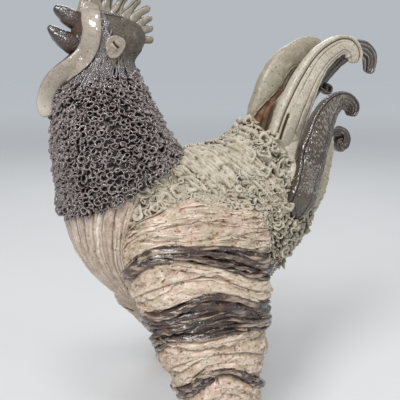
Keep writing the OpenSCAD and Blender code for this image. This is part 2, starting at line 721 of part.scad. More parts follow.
body();
neck();
head();
left_leg();
right_leg();
breast_strands();
saddle_strands();
neck_curls();
rump_tubes();
saddle_rings();
left_eye();
right_eye();
upper_beak();
lower_beak();
left_wattle();
right_wattle();
cream_long_feather();
cream_back_feather();
dark_hook_feather();
dark_low_feather();
dark_curl_feather();
cream_low_feather();
comb_finger(0);  // comb_finger_1
comb_finger(1);  // comb_finger_2
comb_finger(2);  // comb_finger_3
comb_finger(3);  // comb_finger_4
comb_finger(4);  // comb_finger_5
comb_finger(5);  // comb_finger_6
comb_finger(6);  // comb_finger_7
comb_finger(7);  // comb_finger_8
comb_finger(8);  // comb_finger_9
left_strip(0);  // left_leg_strip_1
left_strip(1);  // left_leg_strip_2
left_strip(2);  // left_leg_strip_3
left_strip(3);  // left_leg_strip_4
left_strip(4);  // left_leg_strip_5
left_strip(5);  // left_leg_strip_6
left_strip(6);  // left_leg_strip_7
left_strip(7);  // left_leg_strip_8
left_strip(8);  // left_leg_strip_9
left_strip(9);  // left_leg_strip_10
left_strip(10);  // left_leg_strip_11
left_strip(11);  // left_leg_strip_12
left_strip(12);  // left_leg_strip_13
right_strip(0);  // right_leg_strip_1
right_strip(1);  // right_leg_strip_2
right_strip(2);  // right_leg_strip_3
right_strip(3);  // right_leg_strip_4
right_strip(4);  // right_leg_strip_5
right_strip(5);  // right_leg_strip_6
right_strip(6);  // right_leg_strip_7
right_strip(7);  // right_leg_strip_8
right_strip(8);  // right_leg_strip_9
right_strip(9);  // right_leg_strip_10
right_strip(10);  // right_leg_strip_11
right_strip(11);  // right_leg_strip_12
right_strip(12);  // right_leg_strip_13
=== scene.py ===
import bmesh
import bpy
import math
import numpy as np
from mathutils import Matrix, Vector


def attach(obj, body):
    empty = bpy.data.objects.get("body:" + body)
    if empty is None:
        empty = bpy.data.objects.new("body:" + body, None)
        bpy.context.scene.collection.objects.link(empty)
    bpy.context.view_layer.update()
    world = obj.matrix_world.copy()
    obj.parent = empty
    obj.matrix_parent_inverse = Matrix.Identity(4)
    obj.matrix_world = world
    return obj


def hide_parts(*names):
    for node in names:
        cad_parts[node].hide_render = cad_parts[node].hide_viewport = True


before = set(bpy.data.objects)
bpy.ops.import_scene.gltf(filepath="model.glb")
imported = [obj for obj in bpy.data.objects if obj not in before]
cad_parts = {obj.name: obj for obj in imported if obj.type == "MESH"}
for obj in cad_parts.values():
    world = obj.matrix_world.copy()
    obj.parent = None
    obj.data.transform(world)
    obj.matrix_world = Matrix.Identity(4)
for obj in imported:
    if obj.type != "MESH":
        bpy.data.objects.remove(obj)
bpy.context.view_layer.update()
root = "root"
print("frame loaded:", len(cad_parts), "clay pieces")

# Everything below is in millimetres until clayPiece turns it into metres.
# The bird faces -X, its left side is towards -Y.

# Sections of body, neck and head: back x, back z, belly x, belly z, half width
torsoRows = [
    [28, 266, 78, 213, 24], [18, 264, 84, 192, 38],                                   # tail stump
    [8, 255, 76, 167, 50], [-4, 249, 53, 141, 58],                                    # rump
    [-16, 247, 26, 115, 62], [-25, 246, -10, 100, 64], [-30, 245.5, -47, 100, 64],
    [-33.5, 245, -82, 111, 62],                                                       # saddle, belly
    [-36, 244.5, -112, 134, 59], [-38, 244, -132, 163, 55],                           # breast
    [-43, 243, -141, 198, 51],                                                        # collar
    [-52, 256, -145, 225, 49], [-61, 272, -147, 250, 46], [-69, 288, -146, 272, 41],
    [-75.5, 302, -142, 291, 35], [-78.5, 311, -135, 305, 29],                         # neck
    [-80, 320, -126, 320, 23.5], [-72, 331, -129, 334, 22.5], [-70, 340, -130, 345, 21.5],
    [-75, 348, -126, 353.5, 18], [-86, 353, -119, 358.5, 12], [-96, 356, -109, 358.5, 5]]   # head
# Sections of a leg: middle x, distance from the side view's plane, height, half length, half depth
leftLegRows = [
    [-46, 42, 226, 24, 6], [-46, 44, 212, 32, 14], [-45, 45, 203, 46, 22], [-43, 47, 185, 56, 30],
    [-41, 52, 160, 58, 33], [-39, 59, 138, 55, 34], [-37, 66, 119, 49, 33], [-36.5, 73, 98, 43.5, 30],
    [-35.5, 80, 78, 36, 27], [-32.5, 89, 50, 28.5, 23], [-29, 97, 22, 26, 22], [-29, 102, 0, 29, 24]]
rightLegRows = [
    [-48, 42, 226, 24, 6], [-48, 44, 212, 32, 14], [-48, 45, 203, 46, 22], [-46, 47, 185, 55, 30],
    [-44, 52, 160, 57, 33], [-43, 59, 138, 55, 34], [-43, 66, 119, 49, 33], [-44, 73, 98, 40, 30],
    [-40, 79, 78, 36, 27], [-31, 86, 50, 30, 24], [-19, 95, 24, 22, 21], [-18, 102, 0, 23, 23]]


def smoothRows(table, s):
    t = np.asarray(table, float)
    last = len(t) - 1
    s = np.clip(np.asarray(s, float), 0, last)
    i = np.minimum(np.floor(s).astype(int), last - 1)
    f = (s - i)[..., None]
    a, b, c, d = t[np.maximum(i - 1, 0)], t[i], t[i + 1], t[np.minimum(i + 2, last)]
    return b + (c - a)*f/2 + (2*a - 5*b + 4*c - d)*f*f/2 + (3*b - a - 3*c + d)*f**3/2


def torsoAt(s, a, off=0.0):
    s, a, off = np.broadcast_arrays(s, a, off)          # a in degrees: 0 belly, -90 left side, 180 back
    r = smoothRows(torsoRows, s)
    mid = (r[..., 0:2] + r[..., 2:4])/2
    half = (r[..., 2:4] - r[..., 0:2])/2
    reach = np.linalg.norm(half, axis=-1)
    half = half*((reach + off)/np.maximum(reach, 1e-6))[..., None]
    c, n = np.cos(np.radians(a)), np.sin(np.radians(a))
    return np.stack([mid[..., 0] + half[..., 0]*c, (r[..., 4] + off)*n, mid[..., 1] + half[..., 1]*c], -1)


def unit(v):
    return v/np.maximum(np.linalg.norm(v, axis=-1, keepdims=True), 1e-9)


def torsoFrame(s, a):
    s, a = np.broadcast_arrays(np.asarray(s, float), np.asarray(a, float))
    e = 0.04
    along = unit(torsoAt(s + e, a) - torsoAt(s - e, a))
    around = unit(torsoAt(s, a + 1) - torsoAt(s, a - 1))
    out = unit(np.cross(along, around))
    flip = np.sum(out*(torsoAt(s, a, 1) - torsoAt(s, a)), -1) < 0
    out[flip] *= -1
    return torsoAt(s, a), out, along, np.cross(out, along)


lastRow = len(torsoRows) - 1
raster = {"x": -170, "z": 90, "long": 290, "tall": 280, "passes": 12, "passStep": 0.0083}   # in 1 mm cells


def bodyWidths():                                        # half width of the body over its side view
    cells = np.zeros((raster["long"], raster["tall"]))
    rows = np.linspace(0, lastRow, 211)
    across = np.linspace(-1, 1, 81)
    for fine in range(raster["passes"]):                 # rows between the rows, so that no cell stays empty
        between = np.clip(rows + fine*raster["passStep"], 0, lastRow)[:, None]
        r = smoothRows(torsoRows, between + 0*across)
        x = (r[..., 0] + r[..., 2])/2 + (r[..., 2] - r[..., 0])/2*across
        z = (r[..., 1] + r[..., 3])/2 + (r[..., 3] - r[..., 1])/2*across
        w = r[..., 4]*np.sqrt(1 - across**2)
        for dx in (0, 1):
            for dz in (0, 1):
                i = np.clip(np.floor(x - raster["x"]).astype(int) + dx, 0, raster["long"] - 1)
                j = np.clip(np.floor(z - raster["z"]).astype(int) + dz, 0, raster["tall"] - 1)
                np.maximum.at(cells, (i, j), w)
    return cells


widthRaster = bodyWidths()


def widthAt(x, z):                                       # legs and straps lie on the body by this
    u = np.clip(x - raster["x"], 0, raster["long"] - 2)
    v = np.clip(z - raster["z"], 0, raster["tall"] - 2)
    i, j = np.floor(u).astype(int), np.floor(v).astype(int)
    f, g = u - i, v - j
    w = widthRaster
    return (w[i, j]*(1 - f) + w[i + 1, j]*f)*(1 - g) + (w[i, j + 1]*(1 - f) + w[i + 1, j + 1]*f)*g


def legAt(rows, s, a, off=0.0):
    s, a, off = np.broadcast_arrays(s, a, off)           # a: 0 rear, 90 outside, 180 front
    r = smoothRows(rows, s)
    c, n = np.cos(np.radians(a)), np.sin(np.radians(a))
    x = r[..., 0] + r[..., 3]*c
    y = r[..., 1] + (r[..., 4] + off)*n
    side = widthAt(x, r[..., 2])
    y = np.maximum(y, np.where(side > 1, side + 0.6 + off + 5*np.maximum(n, 0)*np.clip(s/2, 0, 1), -200))
    return np.stack([x + off*c, -y, r[..., 2]], -1)


def lattice(i, j, k, seed):
    h = (i*374761393 + j*668265263 + k*1274126177 + seed*974711) & 0x7fffffff
    h = ((h ^ (h >> 13))*1103515245) & 0x7fffffff
    return ((h ^ (h >> 16)) & 0xffff)/32767.5 - 1


def noise(p, size, seed=0):
    q = np.asarray(p, float)/size
    i = np.floor(q).astype(np.int64)
    f = q - i
    f = f*f*(3 - 2*f)
    total = 0
    for dx in (0, 1):
        for dy in (0, 1):
            for dz in (0, 1):
                w = (f[..., 0] if dx else 1 - f[..., 0])*(f[..., 1] if dy else 1 - f[..., 1])
                w = w*(f[..., 2] if dz else 1 - f[..., 2])
                total = total + w*lattice(i[..., 0] + dx, i[..., 1] + dy, i[..., 2] + dz, seed)
    return total


def ramp(x, low, high):
    t = np.clip((x - low)/(high - low), 0, 1)
    return t*t*(3 - 2*t)


def roundTip(t, start, span, least):                     # full width up to start, then round to the tip
    return np.sqrt(np.clip(1 - np.clip((t - start)/span, 0, 1)**2, least, 1))


class ClayMesh:                                          # gathers rolls of clay, each a grid of rings
    def __init__(self):
        self.points, self.faces, self.hollow, self.tone, self.count = [], [], [], [], 0

    def add(self, grid, hollow, tone):                   # one or many rolls, capped at both ends
        grid = np.asarray(grid, float)
        m, n = grid.shape[-3:-1]
        grid = grid.reshape(-1, m, n, 3)
        k = len(grid)
        hollow, tone = (np.broadcast_to(np.asarray(value, float), grid.shape[:3]) for value in (hollow, tone))
        i, j = np.arange(m - 1)[:, None], np.arange(n)[None, :]
        quad = np.stack([i*n + j, i*n + (j + 1) % n, (i + 1)*n + (j + 1) % n, (i + 1)*n + j], -1)
        start = self.count + np.arange(k)*m*n
        self.faces += (quad.reshape(1, -1, 4) + start[:, None, None]).reshape(-1, 4).tolist()
        self.points.append(grid.reshape(-1, 3))
        self.hollow.append(hollow.ravel())
        self.tone.append(tone.ravel())
        self.count += k*m*n
        for row, flip in ((0, False), (m - 1, True)):
            self.points.append(grid[:, row].mean(1))
            self.hollow.append(hollow[:, row].mean(1))
            self.tone.append(tone[:, row].mean(1))
            a, b = np.arange(n), np.roll(np.arange(n), -1)
            a, b = (b, a) if flip else (a, b)
            ring = start[:, None] + row*n
            centre = np.broadcast_to(self.count + np.arange(k)[:, None], (k, n))
            self.faces += np.stack([centre, ring + b, ring + a], -1).reshape(-1, 3).tolist()
            self.count += k


def clayPiece(name, clay, material, slot, *nodes):
    mesh = bpy.data.meshes.new(name)
    mesh.from_pydata((np.concatenate(clay.points)*0.001).tolist(), [], clay.faces)
    # hollow carries painted shade, and ochre and rust where a piece sets them; tone carries painted highlight
    # above 0, painted shade below 0, and some random tone
    for label, store in (("hollow", clay.hollow), ("tone", clay.tone)):
        layer = mesh.attributes.new(label, "FLOAT", "POINT")
        layer.data.foreach_set("value", np.concatenate(store).astype(np.float32))
    outward = bmesh.new()
    outward.from_mesh(mesh)
    bmesh.ops.recalc_face_normals(outward, faces=outward.faces)
    outward.to_mesh(mesh)
    outward.free()
    mesh.shade_smooth()
    mesh.materials.append(material)
    piece = bpy.data.objects.new(name, mesh)
    bpy.context.scene.collection.objects.link(piece)
    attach(piece, root)
    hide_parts(*nodes)
    print("  made", name, len(mesh.polygons), "faces")


def mirrored(grid, mirror):                              # over to the right side, where that is wanted
    return grid*np.array([1, -1, 1]) if mirror else grid


# Finishes: colours run from 0 to 255, sizes and gaps are in millimetres, shares from 0 to 1

def tint(r, g, b):
    c = np.array([r, g, b])/255
    return (*np.where(c <= 0.04045, c/12.92, ((c + 0.055)/1.055)**2.4), 1.0)


class Wire:                                              # a socket that takes part in plain sums
    def __init__(self, tree, socket=None):
        self.tree, self.socket = tree, socket

    def node(self, kind, settings={}, sockets={}, out=0):
        made = self.tree.nodes.new(kind)
        for name, value in settings.items():
            if name == "stops":
                for i, (at, colour) in enumerate(value):
                    stop = made.color_ramp.elements[i] if i < 2 else made.color_ramp.elements.new(at)
                    stop.position, stop.color = at, colour
            else:
                setattr(made, name, value)
        for key, value in sockets.items():
            if isinstance(value, Wire):
                self.tree.links.new(value.socket, made.inputs[key])
            else:
                made.inputs[key].default_value = value
        return Wire(self.tree, made.outputs[out] if len(made.outputs) else None)

    def maths(self, operation, a, b):
        return self.node("ShaderNodeMath", {"operation": operation}, {0: a, 1: b})

    def __add__(self, other):
        return self.maths("ADD", self, other)

    def __radd__(self, other):
        return self.maths("ADD", other, self)

    def __sub__(self, other):
        return self.maths("SUBTRACT", self, other)

    def __rsub__(self, other):
        return self.maths("SUBTRACT", other, self)

    def __mul__(self, other):
        return self.maths("MULTIPLY", self, other)

    def __rmul__(self, other):
        return self.maths("MULTIPLY", other, self)

    def between(self, low, high):                        # 0 under low, 1 over high, smooth in between
        return self.node("ShaderNodeMapRange", {"interpolation_type": "SMOOTHSTEP"},
                         {"Value": self, "From Min": low, "From Max": high})

    def mix(self, factor, a, b):
        return self.node("ShaderNodeMix", {"data_type": "RGBA"}, {0: factor, 6: a, 7: b}, 2)


def firedClay(name, look):
    material = bpy.data.materials.new(name)
    material.use_nodes = True
    tree = material.node_tree
    tree.nodes.clear()
    sheet = Wire(tree)
    place = sheet.node("ShaderNodeTexCoord", {}, {}, "Object")
    hollow = sheet.node("ShaderNodeAttribute", {"attribute_name": "hollow"}, {}, "Fac")
    tone = sheet.node("ShaderNodeAttribute", {"attribute_name": "tone"}, {}, "Fac")

    def grain(where, size, detail, rough=0.55, bend=0.0):
        return sheet.node("ShaderNodeTexNoise", {}, {
            "Vector": where, "Scale": 1000/size, "Detail": detail, "Roughness": rough, "Distortion": bend})

    def cells(gap, wanted):
        return sheet.node("ShaderNodeTexVoronoi", {}, {"Vector": place, "Scale": 1000/gap}, wanted)

    def over(under, mask, share, key):                   # lays one more colour of the look over the clay
        return sheet.mix(mask*look[share], under, tint(*look[key]))

    drawn = sheet.node("ShaderNodeVectorMath", {"operation": "MULTIPLY"}, {0: place, 1: look["draw"]})
    strokes = grain(drawn, look["strokeSize"], 2.0, 0.6, 0.3)
    cloud = grain(place, look["cloud"], 4)
    patch = grain(place, look["patch"], 3, 0.6, 0.4)
    fine = grain(place, look["fine"], 2)
    colour = sheet.mix(cloud.between(0.38, 0.62), tint(*look["base"]), tint(*look["second"]))
    colour = over(colour, patch.between(0.5, 0.7), "paleShare", "pale")
    colour = over(colour, (1 - patch).between(0.55, 0.74), "stainShare", "stain")
    colour = over(colour, fine.between(0.48, 0.68), "fineShare", "fineColour")
    colour = over(colour, strokes.between(0.5, 0.7), "strokeShare", "stain")
    colour = over(colour, (hollow*(0.75 + 0.5*cloud)).between(0.08, 0.7), "ochreShare", "ochre")
    # the deep colour is painted shade in hollows and creases, where the hollow value is high
    colour = over(colour, (hollow*(0.7 + 0.6*patch)).between(0.35, 1.0), "deepShare", "deep")
    # painted highlight where the tone value is above 0, painted shade where it is below 0
    colour = over(colour, tone.between(0.15, 1.0), "rimShare", "rim")
    colour = over(colour, (0 - tone).between(0.1, 1.0), "shadeShare", "shade")
    # dark specks are the clay's own iron; a pale speck colour paints small glints of light on a glaze
    luck = sheet.node("ShaderNodeSeparateColor", {}, {0: cells(look["speckGap"], "Color")}, 0)
    spots = cells(look["speckGap"], "Distance")
    speck = (luck.between(0.3, 1.0)*look["speckReach"] - spots).between(0.0, 0.04)
    colour = over(colour, speck, "speckShare", "speck")
    holes = cells(look["pinGap"], "Distance")            # pinholes, where the clay is rough
    pin = ((patch - 0.42)*2.2*look["pinReach"] - holes).between(0.0, 0.12)
    # pinholes take the deep colour as painted shade
    colour = over(colour, pin, "pinShare", "deep")
    height = patch*0.5 + fine*look["grit"] + cloud*0.6 + strokes*look["strokeDepth"] - speck*0.35 - pin*0.5
    bump = sheet.node("ShaderNodeBump", {}, {
        "Strength": look["bump"], "Distance": look["bumpDepth"]*0.001, "Height": height})
    rough = look["rough"] + (patch - 0.5)*look["roughSpan"] + hollow*look["hollowRough"]
    shader = sheet.node("ShaderNodeBsdfPrincipled", {}, {
        "Base Color": colour, "Roughness": rough, "Normal": bump, "Metallic": look["metal"],
        "Coat Weight": look["coat"]*(1 - hollow), "Coat Roughness": look["coatRough"],
        "Specular IOR Level": look["specular"]})
    sheet.node("ShaderNodeOutputMaterial", {}, {"Surface": shader})
    return material


# In the looks, deep and shade are colours of painted shade and rim is the colour of a painted highlight
creamLook = {                                            # speckled stoneware with a thin cream glaze
    "base": (168, 160, 142), "second": (158, 149, 130), "pale": (192, 184, 168), "stain": (138, 124, 101),
    "fineColour": (124, 110, 89), "ochre": (142, 110, 76), "deep": (46, 35, 26), "rim": (200, 192, 176),
    "shade": (100, 88, 70), "speck": (42, 34, 28), "cloud": 38, "patch": 7, "fine": 1.5,
    "pinGap": 1.9, "pinReach": 0.36, "pinShare": 0.65,
    "draw": (1.0, 1.0, 1.0), "strokeSize": 3.0, "strokeShare": 0.0, "strokeDepth": 0.0,
    "paleShare": 0.5, "stainShare": 0.6, "fineShare": 0.55, "ochreShare": 0.7, "deepShare": 0.9,
    "rimShare": 0.55, "shadeShare": 0.7, "speckGap": 3.6, "speckReach": 0.21, "speckShare": 0.85,
    "grit": 0.6, "bump": 0.6, "bumpDepth": 0.8, "rough": 0.46, "roughSpan": 0.4, "hollowRough": 0.3,
    "metal": 0.0, "coat": 0.15, "coatRough": 0.25, "specular": 0.4}
creamClay = firedClay("creamClay", creamLook)
featherClay = firedClay("featherClay", creamLook | {     # the longest feather, paler and smoother
    "base": (180, 172, 157), "second": (169, 161, 145), "pale": (200, 193, 178), "stain": (150, 137, 115),
    "coat": 0.4, "coatRough": 0.16, "pinShare": 0.15})
rustClay = firedClay("rustClay", creamLook | {           # bare clay burnt to rust behind the torn edge
    "base": (150, 142, 124), "second": (140, 131, 112), "pale": (174, 166, 150), "ochre": (152, 94, 54),
    "ochreShare": 0.95, "deep": (50, 29, 20), "deepShare": 0.8, "coat": 0.4})
strapClay = firedClay("strapClay", creamLook | {         # glossier cream of the strap, its lobes and the eyes
    "base": (152, 141, 128), "second": (141, 130, 117), "pale": (172, 162, 150), "stain": (128, 111, 96),
    "fineColour": (112, 99, 86), "coat": 0.8, "coatRough": 0.07, "rough": 0.4, "grit": 0.5, "bump": 0.7,
    "patch": 4, "speckGap": 3.0, "speckReach": 0.2, "speckShare": 0.75, "pinShare": 0.3})
pinkClay = firedClay("pinkClay", creamLook | {           # light bands of the legs: a warm pinkish buff
    "base": (190, 166, 148), "second": (177, 163, 140), "pale": (222, 208, 190), "stain": (158, 130, 107),
    "fineColour": (140, 118, 98), "ochre": (146, 98, 62), "deep": (54, 38, 28), "shade": (98, 79, 63),
    "rim": (222, 208, 191), "coat": 0.35, "coatRough": 0.16, "rough": 0.4, "draw": (0.7, 0.7, 3.4),
    "strokeSize": 3.4, "strokeShare": 0.45, "strokeDepth": 1.6, "cloud": 15, "speckGap": 3.0,
    "speckReach": 0.25, "pinGap": 1.7, "pinShare": 0.7})
breastClay = firedClay("breastClay", creamLook | {       # pinkish buff, combed with a toothed tool
    "base": (188, 169, 152), "second": (180, 161, 143), "pale": (224, 212, 198), "stain": (150, 126, 105),
    "fineColour": (138, 117, 99), "ochre": (126, 94, 70), "deep": (50, 37, 29), "shade": (100, 82, 67),
    "rim": (238, 227, 212), "rimShare": 0.7, "coat": 0.45, "coatRough": 0.18, "draw": (1.6, 2.4, 0.5),
    "strokeSize": 2.6, "strokeShare": 0.55, "strokeDepth": 1.8})
coralClay = firedClay("coralClay", creamLook | {         # the rump's tubes, greyer, with painted shade dark in their hollows and down to their feet
    "base": (170, 163, 146), "second": (160, 152, 134), "pale": (190, 184, 167), "stain": (138, 126, 103),
    "fineColour": (118, 107, 86), "shade": (66, 56, 42), "ochre": (124, 92, 58), "deep": (28, 20, 14),
    "rim": (196, 189, 172), "coat": 0.3, "coatRough": 0.16, "grit": 1.0, "shadeShare": 0.9})
# its pale speck colour paints glints of light on the glaze, and rim paints highlights on the rings
ironLook = creamLook | {                                 # thick iron glaze
    "base": (106, 92, 86), "second": (120, 108, 104), "pale": (172, 162, 158), "stain": (90, 62, 50),
    "fineColour": (58, 49, 47), "ochre": (60, 46, 42), "deep": (18, 12, 12), "rim": (146, 134, 134),
    "shade": (34, 27, 26), "speck": (190, 182, 180), "speckShare": 0.5, "speckGap": 2.6, "speckReach": 0.24,
    "rimShare": 0.5, "rough": 0.2, "roughSpan": 0.2, "hollowRough": 0.5, "coat": 0.9, "coatRough": 0.06,
    "specular": 0.6, "patch": 4.5, "grit": 1.3, "bump": 1.0, "pinShare": 0.2}
darkGlaze = firedClay("darkGlaze", ironLook)             # the rings of the neck
combedShadedGlaze = firedClay("combedShadedGlaze", ironLook | {      # a darker copy of the neck glaze: painted shade on the ground under the rings, and the dark combed strands
    "base": (66, 56, 53), "second": (78, 69, 66), "pale": (120, 110, 107), "stain": (60, 43, 36),
    "fineColour": (44, 36, 35), "ochre": (44, 34, 31), "deep": (16, 11, 11), "rim": (128, 119, 117),
    "shade": (24, 18, 17), "coat": 0.8, "coatRough": 0.05, "grit": 0.8, "bump": 0.9})
# its pale speck colour paints glints of light on the dark bands
bandGlaze = firedClay("bandGlaze", creamLook | {         # the same glaze over brown clay on the legs
    "base": (50, 30, 20), "second": (64, 43, 30), "pale": (136, 112, 90), "stain": (60, 29, 17),
    "fineColour": (30, 19, 14), "ochre": (36, 20, 13), "deep": (9, 5, 3), "rim": (178, 157, 136),
    "shade": (18, 11, 9), "speck": (168, 152, 138), "speckShare": 0.6, "speckGap": 3.6, "speckReach": 0.2,
    "rimShare": 0.7, "rough": 0.2, "roughSpan": 0.15, "hollowRough": 0.6, "coat": 0.9, "coatRough": 0.05,
    "specular": 0.6, "grit": 0.4, "bump": 0.8, "bumpDepth": 1.0, "draw": (0.6, 0.6, 2.4), "strokeSize": 4.6,
    "strokeShare": 0.4, "strokeDepth": 1.6, "patch": 5})
metalGlaze = firedClay("metalGlaze", creamLook | {       # the dark tail feathers, hammered and shiny
    "base": (62, 50, 39), "second": (80, 68, 55), "pale": (98, 86, 72), "stain": (50, 34, 24),
    "fineColour": (44, 36, 31), "ochre": (46, 33, 25), "deep": (12, 8, 7), "rim": (180, 173, 162),
    "shade": (24, 19, 17), "speck": (36, 31, 29), "speckShare": 0.5, "speckGap": 3.6, "cloud": 26,
    "rough": 0.18, "roughSpan": 0.15, "hollowRough": 0.4, "metal": 0.2, "coat": 0.9, "coatRough": 0.04,
    "specular": 0.6, "patch": 2.6, "paleShare": 0.4, "fine": 1.3, "fineShare": 0.7, "grit": 0.3, "bump": 0.8,
    "bumpDepth": 0.8, "rimShare": 0.45, "pinShare": 0.15})
brownSlip = firedClay("brownSlip", creamLook | {         # smooth taupe slip on the head
    "base": (87, 77, 65), "second": (79, 69, 57), "pale": (118, 108, 94), "stain": (68, 56, 45),
    "fineColour": (58, 50, 42), "ochre": (78, 48, 35), "deep": (48, 28, 21), "rim": (126, 118, 106),
    "shade": (50, 43, 37), "speck": (36, 30, 26), "speckGap": 2.4, "speckReach": 0.26, "cloud": 22,
    "patch": 2.6, "paleShare": 0.6, "coat": 0.25, "coatRough": 0.25, "rough": 0.45, "grit": 1.2, "bump": 0.75,
    "fineShare": 0.8, "pinShare": 0.5, "deepShare": 0.5})
beakGlaze = firedClay("beakGlaze", creamLook | {         # glossier, red brown towards the corner of the mouth
    "base": (46, 37, 30), "second": (40, 30, 24), "pale": (76, 66, 57), "stain": (58, 32, 21),
    "fineColour": (34, 26, 22), "ochre": (76, 46, 33), "deep": (42, 24, 17), "rim": (100, 90, 80),
    "shade": (36, 28, 25), "speck": (128, 84, 56), "speckGap": 2.6, "cloud": 16, "coat": 0.95,
    "coatRough": 0.06, "rough": 0.24, "patch": 4, "grit": 1.2, "bump": 0.85, "specular": 0.6})
oliveSlip = firedClay("oliveSlip", creamLook | {         # rolled fingers of the comb
    "base": (134, 125, 110), "second": (118, 109, 94), "pale": (160, 152, 137), "stain": (96, 86, 71),
    "fineColour": (108, 100, 87), "ochre": (96, 83, 67), "deep": (42, 36, 31), "rim": (184, 178, 164),
    "shade": (72, 65, 56), "speckGap": 4.5, "cloud": 14, "coat": 0.5, "coatRough": 0.14, "rough": 0.38})
print("finishes ready")

# Shapes that are used again and again; hollow darkens a point with painted shade, tone makes it paler with
# painted highlight or duller with painted shade

def scatter(s, a, gap, keep=None):                       # thins random places out to an even cover
    p = torsoAt(s, a)
    kept = np.zeros((0, 3))
    chosen = []
    for i in range(len(s)):
        if (keep is None or keep[i]) and (not len(kept) or np.min(np.sum((kept - p[i])**2, 1)) > gap[i]**2):
            kept = np.vstack([kept, p[i]])
            chosen.append(i)
    return np.array(chosen)


cupParts = {"sides": 16, "lean": 0.3}


def cups(clay, point, out, u, v, rng, radius, height, wall, oval, torn, shallow=0.0):
    k = len(point)
    th = np.linspace(0, 2*np.pi, cupParts["sides"], endpoint=False)[None, :]
    ph = rng.uniform(0, 2*np.pi, (k, 5))
    wave = 1 + oval*np.cos(2*(th - ph[:, :1]))*rng.uniform(0.3, 1, (k, 1)) \
        + 0.11*np.sin(3*th + ph[:, 1:2]) + 0.05*np.sin(5*th + ph[:, 2:3])
    lip = 1 + torn*np.sin(th + ph[:, 3:4])*rng.uniform(0.4, 1, (k, 1)) + 0.5*torn*np.sin(3*th + ph[:, 4:5])
    tilt = rng.uniform(-cupParts["lean"], cupParts["lean"], (k, 2))
    # share of the radius, share of the height, and 1 for the rings inside the wall
    rings = [(1.12, -0.5, 0), (1.02, 0.35, 0), (1.06, 0.8, 0), (1.0, 1.0, 0),
             (1.0, 0.92, 1), (0.86, 0.4 + 0.3*shallow, 1), (0.5, 0.08 + 0.45*shallow, 1)]
    grid = np.zeros((k, len(rings), cupParts["sides"], 3))
    for i, (share, up, inside) in enumerate(rings):
        r = (radius[:, None]*share - wall[:, None]*inside)*wave
        h = height[:, None]*(up*lip if up > 0.3 else up)
        shift = h[..., None]*(tilt[:, None, :1]*u[:, None] + tilt[:, None, 1:]*v[:, None])
        grid[:, i] = point[:, None] + (r*np.cos(th))[..., None]*u[:, None] \
            + (r*np.sin(th))[..., None]*v[:, None] + h[..., None]*out[:, None] + shift
    # painted shade on the foot and inside the cup, painted highlight on its lip
    hollow = np.array([0.6, 0.1, 0, 0, 0.2, 0.75 - 0.4*shallow, 1.0 - 0.55*shallow])[None, :, None]
    tone = np.array([-1.0, -0.5, 0.3, 0.8, 0.4, -0.5, -0.9])[None, :, None]
    clay.add(grid, hollow, tone)


curlSection = np.array([(-0.5, -0.9), (-0.45, 0.45), (0, 0.85), (0.45, 0.45), (0.5, -0.9)])


def walls(clay, point, out, u, v, flat, lift, thick, height):        # thin walls on edge along flat paths
    step = np.gradient(flat, axis=1)
    normal = unit(np.stack([-step[..., 1], step[..., 0]], -1))
    base = point[:, None] + flat[..., :1]*u[:, None] + flat[..., 1:]*v[:, None] + lift[..., None]*out[:, None]
    across = normal[..., :1]*u[:, None] + normal[..., 1:]*v[:, None]
    q = curlSection
    grid = base[:, :, None] + across[:, :, None]*(q[:, 0]*thick[..., None])[..., None] \
        + out[:, None, None]*(q[:, 1]*height[..., None])[..., None]
    # painted highlight on the crest of each wall, painted shade at its foot
    clay.add(grid, [1.0, 0.1, 0, 0.1, 1.0], [-1.0, 0.2, 1, 0.2, -1.0])


def curls(clay, point, out, u, v, rng, radius, thick, height, turns, steps):
    k = len(point)
    t = np.linspace(0, 1, steps)[None, :]
    turn = rng.uniform(*turns, (k, 1))*rng.choice([-1, 1], (k, 1))
    th = rng.uniform(0, 2*np.pi, (k, 1)) + turn*2*np.pi*t
    closing = 1 - rng.uniform(0.05, 0.5, (k, 1))*t
    r = radius[:, None]*closing*(1 + 0.1*np.sin(2*th + rng.uniform(0, 6, (k, 1))))
    flat = np.stack([r*np.cos(th), r*np.sin(th)*rng.uniform(0.72, 1, (k, 1))], -1)
    tiltU, tiltV = rng.uniform(-0.4, 0.4, (k, 1)), rng.uniform(0.0, 0.6, (k, 1))
    lift = tiltU*flat[..., 0] + tiltV*flat[..., 1] + 0.6*t
    walls(clay, point, out, u, v, flat, lift, np.broadcast_to(thick[:, None], lift.shape),
          height[:, None]*(1 - 0.25*np.abs(2*t - 1)**4))


def worms(clay, s, a, width, height, sides, foot, tone, lift=0.0):   # ropes of clay laid on the body
    p, out = torsoFrame(s, a)[:2]
    go = unit(np.gradient(p, axis=1))
    across = unit(np.cross(out, go))
    th = np.linspace(0, 2*np.pi, sides, endpoint=False)
    c, n = np.cos(th), np.sin(th)
    rise = np.where(n > 0, np.abs(n)**0.8, -0.35*np.abs(n))
    grid = p[:, :, None] + across[:, :, None]*(c*width[..., None])[..., None] \
        + out[:, :, None]*(rise*height[..., None] + lift)[..., None]
    # painted highlight along the top of each rope, painted shade under it and at its foot
    clay.add(grid, np.where(n > 0.3, 0.0, foot), np.where(n > 0.5, 0.7, -0.8*(n <= 0.1)) + tone)


def tapered(steps, sharp=0.5):
    t = np.linspace(0, 1, steps)
    return np.clip(1 - np.abs(2*t - 1)**4, 0, 1)**sharp*0.94 + 0.06


